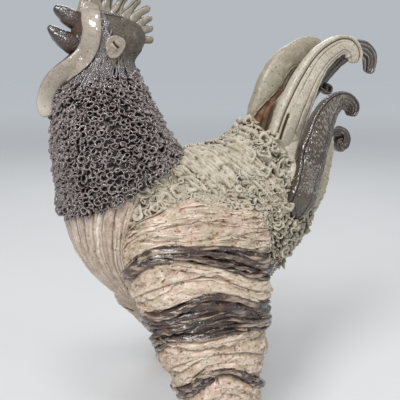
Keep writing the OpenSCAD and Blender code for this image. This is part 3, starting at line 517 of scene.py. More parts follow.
def torsoShell(s, sides, relief, closeLow=0.0):          # skin of the body, the neck or the head over rows s
    a = np.linspace(-180, 180, sides, endpoint=False)[None, :]
    s = np.asarray(s)[:, None] if np.ndim(s) == 1 else s
    p, out, along = torsoFrame(s, a)[:3]
    rise, hollow, tone = relief(np.broadcast_to(s, p.shape[:2]), np.broadcast_to(a, p.shape[:2]), p)
    grid = p + out*rise[..., None]
    if closeLow:                                         # rounds off the low end
        centre, away = grid[0].mean(0), -along[0].mean(0)
        ends = [centre + (grid[0] - centre)*f + away*closeLow*(1 - f*f) for f in (0.3, 0.6, 0.85, 0.95)]
        grid = np.concatenate([ends, grid])
        hollow, tone = (np.concatenate([np.repeat(x[:1], len(ends), 0), x]) for x in (hollow, tone))
    clay = ClayMesh()
    clay.add(grid, hollow[None], tone[None])
    return clay


# The bird itself: what may be changed on a piece is in the dictionary beside it

bodyParts = {"rows": 230, "sides": 264, "endRow": 10.1, "lowEnd": 3.0, "broadLumps": 1.5, "lumps": 0.8,
             "grain": 0.35, "strokes": 0.5, "crumbs": 0.5, "pitDepth": 1.5}


def bodyRelief(s, a, p):
    b = bodyParts
    strokes = noise(p*np.array([0.35, 1, 1.6]), 5, 4)
    pits = np.clip(ramp(noise(p, 4.2, 5), 0.34, 0.7) + 0.8*ramp(noise(p, 2.6, 6), 0.4, 0.75), 0, 1)
    crumbs = b["crumbs"]*noise(p, 5.5, 7)
    rise = b["broadLumps"]*noise(p, 26, 1) + b["lumps"]*noise(p, 9, 2) + b["grain"]*noise(p, 3, 3)
    rise = rise + b["strokes"]*strokes + crumbs - b["pitDepth"]*pits
    # painted shade in the pits, painted highlight on the raised strokes and crumbs
    return rise, 0.85*pits, 0.6*strokes + crumbs


def bodyShell():
    b = bodyParts
    clay = torsoShell(np.linspace(0, b["endRow"], b["rows"]), b["sides"], bodyRelief, b["lowEnd"])
    clayPiece("bodyShell", clay, creamClay, "cream_clay", "body")


bodyShell()

neckParts = {"rows": 150, "sides": 260, "endRow": 16.1, "lumps": 0.8, "folds": 1.3, "flare": 3.6,
             "curlFlare": 3.4, "places": 30000, "curlRows": (9.7, 15.05), "curlGap": (2.7, 4.1),
             "curlRadius": (1.8, 4.2), "wall": (0.9, 1.7), "rise": (1.6, 3.2), "lift": (-0.4, 2.2),
             "turns": (0.5, 1.25), "shake": 0.45}
# Strands combed up the neck: count, angles, low rows, high rows, half widths, height, tone (below 0 it paints
# shade over the strands)
neckThreads = [
    (70, (4, 26), (13.6, 14.9), (15.2, 16.0), (0.75, 1.3), 1.1, -0.95),
    (130, (24, 68), (13.6, 14.9), (16.4, 17.6), (0.75, 1.3), 1.1, -0.95),
    (150, (66, 180), (13.6, 14.9), (15.6, 16.3), (0.75, 1.35), 1.1, -0.9),
    (110, (64, 84), (14.6, 18.4), (16.8, 20.1), (0.6, 1.2), 1.5, -0.1),
    (90, (64, 130), (19.5, 19.9), (19.9, 20.35), (0.7, 1.4), 1.3, -0.1)]


def neckEdge(a):                                         # row where the dark neck ends, over the breast
    flank = np.exp(-((np.abs(a) - 62)/34)**2)
    return 9.98 - 0.16*flank - 0.03*np.sin(np.radians(3*a + 40)) - 0.035*np.sin(np.radians(11*a))


def neckFlare(s, a, by):                                 # the collar stands off the breast in front
    return by*(1 - ramp(s, 10.12, 10.6))*(1 - ramp(np.abs(a), 105, 140))


def neckRelief(s, a, p):
    fold = noise(p, 3.2, 11)
    flare = neckFlare(s, a, neckParts["flare"])
    rise = neckParts["lumps"]*noise(p, 12, 10) + neckParts["folds"]*fold - 0.5 + flare
    # painted shade over the whole ground under the rings, lighter on the folds' crests
    return rise, 0.75 - 0.3*fold, 0.5*fold - 0.6


def threads(clay, rng, count, angles, lows, highs, widths, height, tone, steps=13):
    t = np.linspace(0, 1, steps)[None, :]
    low, high = rng.uniform(*lows, (count, 1)), rng.uniform(*highs, (count, 1))
    wide = rng.uniform(*widths, (count, 1))
    side = np.where(np.arange(count) % 2, 1, -1)[:, None]
    a = side*rng.uniform(*angles, (count, 1)) + rng.uniform(-6, 6, (count, 1))*(t - 0.5) \
        + 2.2*np.sin(t*7 + wide*40)
    thin = tapered(steps)[None]
    worms(clay, low + (high - low)*t, a, wide*thin, wide*height*thin, 7, 1.0, tone)


def neckSkin():
    b = neckParts
    share = np.linspace(0, 1, b["rows"])[:, None]
    lowest = neckEdge(np.linspace(-180, 180, b["sides"], endpoint=False))[None, :]
    clay = torsoShell(lowest + (b["endRow"] - lowest)*share, b["sides"], neckRelief)
    rng = np.random.default_rng(21)
    for bundle in neckThreads:
        threads(clay, rng, *bundle)
    clayPiece("neckSkin", clay, combedShadedGlaze, "dark_glaze", "neck")


def neckCurls():
    b = neckParts
    rng = np.random.default_rng(22)
    s = rng.uniform(*b["curlRows"], b["places"])
    a = rng.uniform(-180, 180, b["places"])
    torn = neckEdge(a) + 0.01
    top = 14.7 + 0.25*np.cos(np.radians(a + 180)) + 0.2*np.sin(np.radians(a*7))
    chosen = scatter(s, a, rng.uniform(*b["curlGap"], b["places"]), (s > torn) & (s < top))
    s, a = s[chosen], a[chosen]
    k = len(s)
    point, out, along, side = torsoFrame(s, a)
    radius = rng.uniform(*b["curlRadius"], k)*(1.1 - 0.06*(s - 10))
    clay = ClayMesh()
    over = neckFlare(s, a, b["curlFlare"])[:, None] + rng.uniform(*b["lift"], (k, 1))
    curls(clay, point + out*over, out, side, -along, rng, radius, rng.uniform(*b["wall"], k),
          rng.uniform(*b["rise"], k), b["turns"], 9)
    for points in clay.points:                           # no two curls alike
        points += b["shake"]*np.stack([noise(points, 2.8, seed) for seed in (15, 16, 17)], -1)
    clayPiece("neckCurls", clay, darkGlaze, "dark_glaze", "neck_curls")


neckSkin()
neckCurls()

headParts = {"rows": (15.9, 20.6, 80), "crown": (20.65, 21, 8), "sides": 150, "lumps": 0.4, "grain": 0.35,
             "combed": 0.3, "threads": (110, (60, 180), (14.9, 15.5), (16.0, 16.9), (0.7, 1.2), 0.9, -0.7)}


def headRelief(s, a, p):
    combed = noise(p*np.array([1.6, 1.6, 0.35]), 3, 14)
    mouth = ramp(72 - np.abs(a), 0, 16)*ramp(s, 16.6, 17.3)
    rise = headParts["lumps"]*noise(p, 9, 12) + headParts["grain"]*noise(p, 3, 13) \
        + headParts["combed"]*combed*ramp(17.2 - s, 0, 1.2)
    # towards the mouth the hollow gives red-brown ochre and, deepest, painted shade; the combing gets painted
    # highlight and shade
    return rise, 0.6*mouth, 0.5*combed - 0.1


def headSkin():
    b = headParts
    rows = np.concatenate([np.linspace(*b["rows"]), np.linspace(*b["crown"])])
    clay = torsoShell(rows, b["sides"], headRelief)
    # the strands under the eye get painted shade through their last value, -0.7
    threads(clay, np.random.default_rng(24), *b["threads"])
    clayPiece("headSkin", clay, brownSlip, "brown_slip", "head")


headSkin()

eyeParts = {"row": 16.8, "angle": -94.0, "tall": 9.4, "long": 7.5, "thick": 2.6, "slit": 2.2, "lid": 1.0,
            "grain": 0.2}


def eyeDisc(name, mirror, node):
    e = eyeParts
    f = np.concatenate([np.linspace(0.02, 0.9, 26), np.linspace(0.92, 1.0, 7), [1.03, 1.04, 1.03]])[:, None]
    th = np.linspace(0, 2*np.pi, 72, endpoint=False)[None, :]
    perRow = np.linalg.norm(torsoAt(e["row"] + 0.5, e["angle"]) - torsoAt(e["row"] - 0.5, e["angle"]))
    perDegree = np.linalg.norm(torsoAt(e["row"], e["angle"] + 5) - torsoAt(e["row"], e["angle"] - 5))/10
    x = f*np.cos(th)*e["long"]*(1 + 0.03*np.sin(3*th))
    z = f*np.sin(th)*e["tall"]*(1 + 0.02*np.sin(2*th + 1))
    p, out = torsoFrame(e["row"] + z/perRow, e["angle"] + x/perDegree)[:2]
    rim = np.sqrt(np.clip(1 - ((f - 0.84)/0.2)**2*(f > 0.84), 0, 1))
    dome = e["thick"]*(0.86 + 0.14*np.cos(f*5.6))*rim - 0.6*(f > 1)
    q, w = x*0.76 + z*0.65, z*0.76 - x*0.65              # along and across the slit of the lid
    cut = np.exp(-((w - 0.5 - 0.07*q*q)/0.75)**2)*ramp(3.9 - np.abs(q - 0.4), 0, 1.0)
    flap = np.exp(-((w + 1.2)/0.9)**2)*ramp(3.2 - np.abs(q), 0, 1.5)
    rise = dome - e["slit"]*cut + e["lid"]*flap + e["grain"]*noise(p, 2.5, 30)
    clay = ClayMesh()
    # painted shade in the slit of the lid, painted highlight on the flap
    hollow, tone = np.clip(cut*1.2, 0, 1), 0.5*flap - 0.5*cut
    clay.add(mirrored(p + out*rise[..., None], mirror), hollow[None], tone[None])
    clayPiece(name, clay, strapClay, "cream_clay", node)


eyeDisc("leftEye", False, "left_eye")
eyeDisc("rightEye", True, "right_eye")


def softRows(rows, n):
    rows = np.asarray(rows, float)
    return smoothRows(rows, np.linspace(0, len(rows) - 1, n))


# Beaks: x, z, half width, half height, from inside the head to the tip
beakRows = {
    "upper": [[-104, 344, 9, 9], [-116, 346, 10.5, 9.5], [-124, 349.5, 9, 8.8], [-131, 353, 7.7, 8],
              [-135, 356, 6.2, 6.6], [-139, 358.3, 4.3, 4.6], [-142.3, 360.6, 2.2, 2.4]],
    "lower": [[-108, 326, 9, 8], [-120, 329.5, 9.5, 9.5], [-128, 332, 8.8, 9.4], [-134, 335, 8, 8.6],
              [-139, 338.5, 6.6, 7], [-143.5, 342, 4.8, 5], [-147.8, 345.8, 2.2, 2.4]]}
beakParts = {"steps": 60, "sides": 40, "lumps": 0.35, "grain": 0.25, "ochre": 0.9}


def beak(name, key, node):
    b = beakParts
    rows = softRows(beakRows[key], b["steps"])
    th = np.linspace(0, 2*np.pi, b["sides"], endpoint=False)[None, :]
    step = np.gradient(rows[:, :2], axis=0)
    go = step/np.linalg.norm(step, axis=1, keepdims=True)
    t = np.linspace(0, 1, b["steps"])[:, None]
    rounded = roundTip(t, 0.93, 0.07, 0.02)
    up = np.stack([go[:, 1], 0*go[:, 0], -go[:, 0]], -1)
    c = np.cos(th)*(1 - 0.1*np.cos(2*th))
    n = np.sin(th)
    grid = np.stack([rows[:, 0], 0*rows[:, 0], rows[:, 1]], -1)[:, None] \
        + up[:, None]*(c*rows[:, 3:4]*rounded)[..., None] \
        + np.array([0, 1, 0])*(n*rows[:, 2:3]*rounded)[..., None]
    rise = b["lumps"]*noise(grid, 6, 40) + b["grain"]*noise(grid, 2.4, 41)
    grid = grid + unit(grid - grid.mean(1, keepdims=True))*rise[..., None]
    clay = ClayMesh()
    # red-brown towards the mouth through the hollow value; painted highlight on the lumps
    clay.add(grid, (b["ochre"]*(1 - ramp(t, 0.3, 0.75)))[None], (0.8*rise)[None])
    clayPiece(name, clay, beakGlaze, "brown_slip", node)


beak("upperBeak", "upper", "upper_beak")
beak("lowerBeak", "lower", "lower_beak")

# Wattle strap from the crown to the hanging lobe: x, z, distance from the middle, half width
strapRows = [
    [-113.2, 364.5, 3, 6.3], [-115, 358.5, 5.5, 6.8], [-116.2, 351, 9.5, 6.9], [-116.2, 342, 11, 6.9],
    [-118.3, 332, 11, 6.9], [-122.3, 324, 11, 6.9], [-129.4, 317, 11, 6.9], [-137.4, 311, 9, 6.9],
    [-144.2, 305, 6, 6.9], [-148.6, 299, 3.5, 6.8], [-151.8, 291.5, 1.5, 6.6], [-153, 284.5, 0.4, 6.4],
    [-152.6, 279, 0.4, 5.6], [-152, 275, 0.4, 3.6]]


strapParts = {"steps": 120, "sides": 32, "thick": 3.9, "lobe": 1.9, "lumps": 0.3, "grain": 0.12, "bends": 0.3}


def strap(name, mirror, node):
    b = strapParts
    rows = softRows(strapRows, b["steps"])
    step = np.gradient(rows[:, :2], axis=0)
    go = step/np.linalg.norm(step, axis=1, keepdims=True)
    u = np.stack([go[:, 1], -go[:, 0]], -1)
    t = np.linspace(0, 1, b["steps"])
    ends = roundTip(-t, -0.035, 0.035, 0.03)*roundTip(t, 0.955, 0.045, 0.03)
    thick = (b["thick"] + b["lobe"]*ramp(t, 0.78, 0.93))*ends
    th = np.linspace(0, 2*np.pi, b["sides"], endpoint=False)
    j, up = np.cos(th), np.sin(th)
    j = np.sign(j)*np.abs(j)**0.7
    up = np.sign(up)*np.abs(up)**0.75
    x = rows[:, :1] + u[:, :1]*j*rows[:, 3:4]*ends[:, None]**0.5
    z = rows[:, 1:2] + u[:, 1:]*j*rows[:, 3:4]*ends[:, None]**0.5
    inner = np.maximum(widthAt(x, z) + 0.3, rows[:, 2:3])
    y = -(inner + thick[:, None]*(0.5 + 0.5*up))
    grid = np.stack([x, y, z], -1)
    rise = b["lumps"]*noise(grid, 8, 50) + b["grain"]*noise(grid, 2.5, 51)
    grid[..., 1] -= rise*(up > 0)
    grid[..., 0] += b["bends"]*noise(grid, 7, 52)
    clay = ClayMesh()
    # painted shade on the underside, painted highlight on the lumps and over the hanging lobe
    tone = np.where(up < -0.2, -0.9, 0.3*rise) + 0.8*ramp(t, 0.6, 0.85)[:, None]
    clay.add(mirrored(grid, mirror), 0.0, tone[None])
    clayPiece(name, clay, strapClay, "cream_clay", node)


strap("leftWattle", False, "left_wattle")
strap("rightWattle", True, "right_wattle")

# Fingers of the comb from the nape to the front: row and angle of the foot, tip x and z, half widths
combFingers = [
    (17.6, 180, -63, 337, 3.3, 3.0), (18.5, 180, -62.6, 346.5, 3.3, 3.0), (19.1, 180, -63.6, 354.5, 3.4, 3.0),
    (19.6, 180, -65, 362.5, 3.6, 3.0), (20.1, 180, -73, 369.5, 3.8, 3.0), (20.75, 180, -83, 375.5, 4.2, 2.9),
    (21, 90, -93, 381, 4.6, 2.8), (20.75, 0, -102, 385, 6.6, 3.0), (20.15, 0, -110.5, 383, 4.8, 2.8)]


combParts = {"steps": 64, "sides": 36, "sunk": 4, "bend": 0.42, "sway": 1.1, "lumps": 0.25, "grain": 0.12}


def combFinger(number, row, angle, x, z, wide, deep):
    b = combParts
    foot = torsoAt(row, angle) if row < lastRow else (torsoAt(lastRow, 90) + torsoAt(lastRow, -90))/2
    n = torsoFrame(row, angle)[1] if row < lastRow else np.array([0, 0, 1.0])
    tip = np.array([x, 0, z])
    foot = foot - n*b["sunk"]
    bend = foot + n*np.linalg.norm(tip - foot)*b["bend"]
    t = np.linspace(0, 1, b["steps"])[:, None]
    path = foot*(1 - t)**2 + bend*2*t*(1 - t) + tip*t*t
    path[:, 1] += b["sway"]*np.sin(t[:, 0]*5 + number*2)*t[:, 0]
    go = unit(np.gradient(path, axis=0))
    u = unit(np.cross(go, [0, 1, 0]))
    v = np.cross(go, u)
    th = np.linspace(0, 2*np.pi, b["sides"], endpoint=False)[None, :]
    shape = (1.55 - 0.6*ramp(t, 0.1, 0.6) + 0.09*np.sin(t*9 + number))*(1 - 0.1*ramp(t, 0.5, 1)) \
        * roundTip(t, 0.86, 0.14, 0.03)

    def crease(at, width):                               # rolled edges running along the finger
        return np.exp(-((np.angle(np.exp(1j*(th - at - 0.6*np.sin(t*3 + number))))/width)**2))

    spiral = 0.26*crease(0.5*number - 1.7, 0.2) + 0.2*crease(-0.6, 0.16) \
        + 0.18*crease(-2.5, 0.18) + 0.2*crease(-1.5, 0.12)
    r = shape*(1 - spiral)
    grid = path[:, None] + u[:, None]*(r*np.cos(th)*wide)[..., None] \
        + v[:, None]*(r*np.sin(th)*deep)[..., None]
    rise = b["lumps"]*noise(grid, 4, 60 + number) + b["grain"]*noise(grid, 1.6, 61)
    grid = grid + unit(grid - path[:, None])*rise[..., None]
    clay = ClayMesh()
    # painted shade in the rolled creases and at the foot, painted highlight on the lumps
    clay.add(grid, np.clip(spiral*4 + 0.5*(1 - ramp(t, 0, 0.2)), 0, 1)[None], (rise - spiral*2)[None])
    clayPiece("combFinger%d" % number, clay, oliveSlip, "olive_slip", "comb_finger_%d" % number)


for i, finger in enumerate(combFingers):
    combFinger(i + 1, *finger)
print("head finished")

breastParts = {"ridges": 17, "topAngle": 104.0, "lowAngle": 34.0, "topRow": 10.12, "lowRow": 6.9, "rise": 3.6,
               "rows": 130, "columns": 520, "combSize": 5.5, "comb": 0.6, "lumps": 0.45, "pitDepth": 0.8,
               "thick": 1.5}


def breast():
    b = breastParts
    f = np.linspace(0, 1, b["rows"])[:, None]
    g = np.linspace(-1, 1, b["columns"])[None, :]
    s = b["lowRow"] + (b["topRow"] - b["lowRow"])*f + 0*g
    a = (b["lowAngle"] + (b["topAngle"] - b["lowAngle"])*f**1.15)*g
    p = torsoAt(s, a)
    bent = g + 0.006*np.sin(f*7 + g*11) + 0.012*noise(p, 20, 70) + 0.008*noise(p, 7, 73)
    at = (bent + 1)*b["ridges"]/2
    phase = at - np.floor(at)
    which = np.floor(at).astype(int)
    luck = lattice(which, 0*which, 0*which, 5)
    middle = 0.5 + 0.2*luck
    halves = np.where(phase < middle, phase/middle, (phase - middle)/(1 - middle))
    strand = np.clip(np.sin(np.pi*halves), 0, 1)**0.55
    broad = np.clip(np.sin(np.pi*phase), 0, 1)**0.45
    ridge = broad*(0.62 + 0.38*strand)
    deep = 0.7 + 0.3*luck*np.sin(f*5 + which)
    edge = ramp(1 - np.abs(g), 0, 0.05)*ramp(f, 0, 0.14)
    comb = noise(np.stack([at*b["combSize"], 0*at, s*1.6], -1), 1, 72)
    pits = ramp(noise(p, 3.2, 74), 0.4, 0.75)
    rise = b["rise"]*edge*(0.35 + 0.65*ridge*deep) \
        + (b["lumps"]*noise(p, 6, 71) + 0.3*luck + b["comb"]*comb - b["pitDepth"]*pits)*edge
    point, out = torsoFrame(s, a)[:2]
    top = point + out*np.maximum(rise, 0.1)[..., None]
    under = (point - out*b["thick"])[:, ::-4]            # the back, with a quarter of the columns
    grid = np.concatenate([top, under], 1)
    back = np.zeros(under.shape[:2])
    grooveShade = 0.4 + 0.6*ramp(f + 0.25*noise(p, 12, 76), 0.55, 0.85)    # painted shade in the grooves, deepest under the neck
    hollow = np.clip(1.15 - 2.9*ridge*deep + 0.6*pits, 0, 1)*edge*0.85*grooveShade
    # painted highlight on the strands' crests and comb lines, painted shade in the grooves; the last noise is
    # random tone
    ridgeShading = 1.1*(ridge*deep - 0.55)*edge
    tone = np.where(ridgeShading < 0, ridgeShading*grooveShade, ridgeShading) + 0.75*comb + 0.3*noise(p, 16, 75)
    clay = ClayMesh()
    clay.add(grid, np.concatenate([hollow, back], 1)[None], np.concatenate([tone, back], 1)[None])
    clayPiece("breastStrands", clay, breastClay, "buff_clay", "breast_strands")


breast()


def bodyPlaces():                                        # places of the left half in the side view
    s, a = np.meshgrid(np.linspace(0.3, 9.95, 280), np.linspace(-180, -84, 150), indexing="ij")
    p = torsoAt(s, a)
    return s.ravel(), a.ravel(), p[..., 0].ravel(), p[..., 2].ravel()


placeRow, placeAngle, placeX, placeZ = bodyPlaces()


def findOnBody(x, z):                                    # row and angle of a place in the side view
    nearest = [np.argmin((placeX - u)**2 + (placeZ - w)**2) for u, w in zip(x, z)]
    return placeRow[nearest], placeAngle[nearest]


def eased(values, pick):                                 # evens out the steps between the places found
    spread = np.pad(np.interp(pick, np.arange(len(values)), values), 3, "edge")
    return np.convolve(spread, np.ones(7)/7, "valid")


saddleParts = {"strands": 37, "frontX": -45.0, "rearX": 16.0, "wide": (1.4, 2.6), "tall": (2.8, 5.0),
               "reach": (58, 92), "steps": 44, "lowAngle": (120, 131), "lowRow": (0.9, 2.6), "lumps": 0.5,
               "grain": 0.35, "roughness": 1.3, "pitDepth": 1.2}
bodyMiddle = np.array([-40, 0, 190])


def saddle():
    b = saddleParts
    rng = np.random.default_rng(31)
    clay = ClayMesh()
    t = np.linspace(0, 1, b["steps"])
    f = np.linspace(0, 1, 90)
    ridge = torsoAt(np.linspace(0, 9.9, 120), 180)
    order = np.argsort(ridge[:, 0])
    starts = np.linspace(b["frontX"], b["rearX"], b["strands"])
    collar = torsoAt(9.95, np.linspace(-172, -128, 11))
    for side in (-1, 1):
        for i, x0 in enumerate(np.concatenate([starts, collar[:, 0]])):
            x0 = x0 + rng.uniform(-1, 1)
            z0 = np.interp(x0, ridge[order, 0], ridge[order, 2]) + 1
            if i >= len(starts):                         # these begin under the edge of the neck
                z0 = collar[i - len(starts), 2]
            reach = rng.uniform(*b["reach"])
            x = x0 + reach*(0.82*f - 0.16*f*f) + 1.2*np.sin(f*9 + i)
            z = z0 - reach*(0.42*f + 0.42*f*f*rng.uniform(0.8, 1.2))
            s, a = findOnBody(x, z)
            offBack = (np.abs(a) < rng.uniform(*b["lowAngle"])) & (s > 3.2)
            ends = np.nonzero(offBack | (s < rng.uniform(*b["lowRow"])))[0]
            pick = np.linspace(0, max(ends[0] if len(ends) else 89, 14), b["steps"])
            width = rng.uniform(*b["wide"])*tapered(b["steps"], 0.4)*(1 + 0.18*np.sin(t*15 + i*3))
            height = rng.uniform(*b["tall"])*tapered(b["steps"], 0.5)*(1 + 0.15*np.sin(t*12 + i*5))
            worms(clay, eased(s, pick)[None], -side*eased(a, pick)[None], width[None], height[None],
                  12, 0.95, -0.15, 0.1)
    for store in range(len(clay.points)):
        p = clay.points[store]
        rough = noise(p, 3.2, 80)*b["lumps"] + noise(p, 1.6, 81)*b["grain"]
        pit = ramp(noise(p, 2.4, 82), 0.3, 0.6)
        p += unit(p - bodyMiddle)*(b["roughness"]*rough - b["pitDepth"]*pit)[:, None]
        # painted shade in the pits, painted highlight on the raised lumps
        clay.hollow[store] = np.clip(clay.hollow[store] + 0.9*pit, 0, 1)
        clay.tone[store] = clay.tone[store] + 1.1*rough
    clayPiece("saddleStrands", clay, creamClay, "cream_clay", "saddle_strands")


saddle()

dimpleParts = {"places": 5000, "broad": 600, "broadGap": (10.0, 15.0), "gap": (5.6, 8.0), "tall": (0.9, 2.3),
               "wall": (0.9, 2.6), "crumbs": 200, "lumps": 0.55, "grain": 0.35}


def saddleCups():
    b = dimpleParts
    rng = np.random.default_rng(41)
    clay = ClayMesh()
    for side in (-1, 1):
        n = b["places"]
        s = rng.uniform(3.0, 9.95, n)
        a = 137 - rng.uniform(0, 1, n)*(50 + 16*ramp(s, 6, 9))
        broad = np.arange(n) < b["broad"]
        gap = np.where(broad, rng.uniform(*b["broadGap"], n), rng.uniform(*b["gap"], n))
        chosen = scatter(s, a, gap)
        s, a, gap, broad = s[chosen], side*a[chosen], gap[chosen], broad[chosen]
        k = len(s)
        point, out, along, sideways = torsoFrame(s, a)
        radius = np.where(broad, gap*rng.uniform(0.38, 0.5, k), gap*rng.uniform(0.26, 0.4, k))
        cups(clay, point + out*0.2, out, sideways, along, rng, radius, rng.uniform(*b["tall"], k),
             np.clip(radius*0.45, *b["wall"]), 0.35, 0.6, 0.5)
        k = b["crumbs"]                                  # crumbs and torn rims between the dimples
        s, a = rng.uniform(3.0, 9.9, k), side*(112 + rng.uniform(-30, 26, k))
        point, out, along, sideways = torsoFrame(s, a)
        curls(clay, point + out*0.3, out, sideways, along, rng, rng.uniform(1.5, 3.8, k),
              rng.uniform(0.8, 1.9, k), rng.uniform(0.9, 2.0, k), (0.2, 0.6), 8)
    for store in range(len(clay.points)):
        p = clay.points[store]
        p += unit(p - bodyMiddle)*(b["lumps"]*noise(p, 3.4, 86) + b["grain"]*noise(p, 1.8, 87))[:, None]
        # painted highlight on the raised lumps, from the same noise that lifts them
        clay.tone[store] = clay.tone[store]*0.8 + 0.6*noise(p, 3.4, 86)
    dimpleLeg(clay, leftLegRows, False)
    dimpleLeg(clay, rightLegRows, True)
    clayPiece("saddleCups", clay, creamClay, "cream_clay", "saddle_rings")


def largeTubes():                                        # number, row and angle of each tall tube
    places = [(0.4 + 0.55*i, 20*k + (i % 2)*9 - 4) for i in range(6) for k in range(-3, 4)]
    places += [(0.5 + 0.68*i, side*(79 + 16*k + (i % 2)*8))
               for side in (-1, 1) for i in range(4) for k in range(4)]
    places += [(0.8, side*167) for side in (-1, 1)]
    return [(i, s, a) for i, (s, a) in enumerate(places)
            if (abs(s - 1.4) > 1.05 or abs(abs(a) - 74) > 25) and (abs(s - 1.4) > 0.7 or abs(a - 22) > 24)]


coralParts = {"places": 16000, "gap": (3.8, 7.0), "tallGap": 5.0, "tallRadius": 5.9, "tall": (4.2, 6.6),
              "low": (1.5, 4.6), "wall": (0.9, 2.0), "shreds": 460, "shredRadius": (2.0, 5.2), "shake": 0.95,
              "burntAt": (30, -12, 262), "burntArea": 110, "burnt": 0.55}


def rumpCoral():
    b = coralParts
    rng = np.random.default_rng(42)
    clay = ClayMesh()
    large = np.array(largeTubes())
    size = 0.8 + 0.17*np.sin(np.radians(97*large[:, 0]))
    s = np.concatenate([large[:, 1], rng.uniform(-0.1, 4.6, b["places"])])
    a = np.concatenate([(large[:, 2] + 180) % 360 - 180, rng.uniform(-180, 180, b["places"])])
    reach = 4.3 - 1.7*ramp(np.abs(a), 100, 165) - 1.2*ramp(60 - np.abs(a), 0, 50)
    top = ramp(np.abs(a), 115, 160)                      # lower and finer towards the tail's root
    keep = s < reach + rng.uniform(-0.5, 0.3, len(s))
    foot = 1.0*np.exp(-((a + 97)/16)**2)                 # the long feather's foot stays free
    keep &= (s > 0.55 + foot - 0.5*ramp(82 - np.abs(a), 0, 12)) | (np.abs(a) > 158)
    gap = rng.uniform(*b["gap"], len(s))*(1 - 0.15*top)
    gap[:len(large)] = b["tallGap"]
    keep[:len(large)] = s[:len(large)] > 0.3 + foot[:len(large)]
    p = torsoAt(s, a)
    near = np.min(np.linalg.norm(p[:, None] - p[None, :len(large)], axis=2) - 5.6*size[None], axis=1)
    keep[len(large):] &= near[len(large):] > 1.6
    chosen = scatter(np.maximum(s, 0.02), a, gap, keep)
    isLarge = chosen < len(large)
    grown = np.where(isLarge, size[np.minimum(chosen, len(large) - 1)], 0)
    s, a, gap, top = np.maximum(s[chosen], 0.02), a[chosen], gap[chosen], top[chosen]
    k = len(s)
    point, out, along, sideways = torsoFrame(s, a)
    bend = np.where(isLarge, 0.35, 1.0)[:, None]
    aft = unit(out + bend*(0.45*rng.uniform(-1, 1, (k, 1))*along + 0.4*rng.uniform(-1, 1, (k, 1))*sideways
                           + np.array([0.25, 0, 0.1])))
    radius = np.where(isLarge, b["tallRadius"]*grown, gap*rng.uniform(0.44, 0.6, k))
    height = rng.uniform(*b["low"], k)*(0.55 + 0.45*ramp(4.2 - s, 0, 1.5))*(1 - 0.4*top)
    tall = rng.uniform(*b["tall"], k)*(1 - 0.3*top)
    height = np.where(isLarge, tall, height)*(1 - 0.4*ramp(75 - np.abs(a), 0, 25))
    across = np.cross(aft, along)
    cups(clay, point + out*0.3, aft, unit(across), unit(np.cross(aft, across)), rng, radius, height,
         np.clip(radius*0.34, *b["wall"]), 0.5, 0.55)
    s, a = rng.uniform(0.6, 3.9, b["shreds"]), rng.uniform(-180, 180, b["shreds"])      # torn half rings
    free = s > 0.6 + 1.1*np.exp(-((a + 97)/18)**2)
    s, a, k = s[free], a[free], int(free.sum())
    point, out, along, sideways = torsoFrame(s, a)
    height = rng.uniform(1.4, 3.6, k)*(1 - 0.4*ramp(np.abs(a), 115, 160))
    curls(clay, point + out*0.8, out, sideways, along, rng, rng.uniform(*b["shredRadius"], k),
          rng.uniform(1.1, 2.2, k), height, (0.25, 0.75), 11)
    for store in range(len(clay.points)):
        p = clay.points[store]
        shake = np.stack([noise(p, 5.5, seed) for seed in (84, 88, 89)], -1)
        p += b["shake"]*shake + unit(p - np.array([0, 0, 190]))*(0.5*noise(p, 2.4, 83))[:, None]
        clay.tone[store] = clay.tone[store] + 0.5*noise(p, 9, 85) + 0.4*noise(p, 3, 90)
        away = np.sum((p - np.array(b["burntAt"]))**2, 1)            # rust at the foot of the back feather
        clay.hollow[store] = clay.hollow[store] + b["burnt"]*np.exp(-away/b["burntArea"])
    clayPiece("rumpCoral", clay, coralClay, "cream_clay", "rump_tubes")


rumpCoral()
print("body finished")


# Legs: heights where one strip ends and the next begins, at 0, 45, 90, 135 and 180 degrees round the leg
stripEdges = [
    [199, 188, 167, 143, 131, 121, 112, 104, 84, 66, 58, 43, 28, 8],
    [203, 190, 169.5, 146, 138.5, 131, 121, 111.5, 93, 73.5, 67, 50, 32, 9],
    [211, 196, 179, 167, 156.5, 146, 131, 115.5, 103, 90.5, 83, 60, 37, 10],
    [204, 191, 178, 167, 151.5, 136.5, 122, 107.5, 93.5, 79.5, 70, 52, 33, 9],
    [186, 176, 157, 149, 136, 123.5, 109, 95, 80.5, 67, 57.5, 43, 28, 8]]
darkStrips = (2, 5, 6, 9)                                # counted from 0 at the top
# Folds of clay laid over each strip: how many, height, thickness, slope and reach round the leg
# the crack value sets how strong the painted shade is along the top edge of each fold
paleFold = {"ragged": (0.9, 0.6), "folds": 0.45, "fine": 0.6, "grain": (0.16, 1.25, 1), "pits": 1,
            "rope": 0.25, "crack": 0.45}
foldStyles = {
    "haunch": paleFold | {
        "count": 16, "tall": (1.8, 5), "thick": (0.3, 1.0), "slope": 2.4, "reach": (12, 40), "base": 3.0},
    "light": paleFold | {
        "count": 9, "tall": (6, 13), "thick": (2.0, 4.0), "slope": 8.0, "reach": (24, 70), "base": 2.1},
    "dark": {
        "count": 12, "tall": (3.0, 7.0), "thick": (2.4, 6.2), "slope": 5.0, "reach": (20, 70), "base": 1.1,
        "ragged": (1.5, 0.9), "folds": 0.7, "fine": 0.9, "grain": (0.1, 0.6, 1), "pits": 0.4, "rope": 0.75,
        "crack": 1.0}}


def stripEdge(k, a):
    byAngle = np.array([np.interp(k, np.arange(14), row) for row in stripEdges])[:, None]
    smooth = smoothRows(byAngle, np.clip(a, 0, 180)/45)[..., 0]
    return smooth + 0.8*np.sin(np.radians(5*a + 67*k))


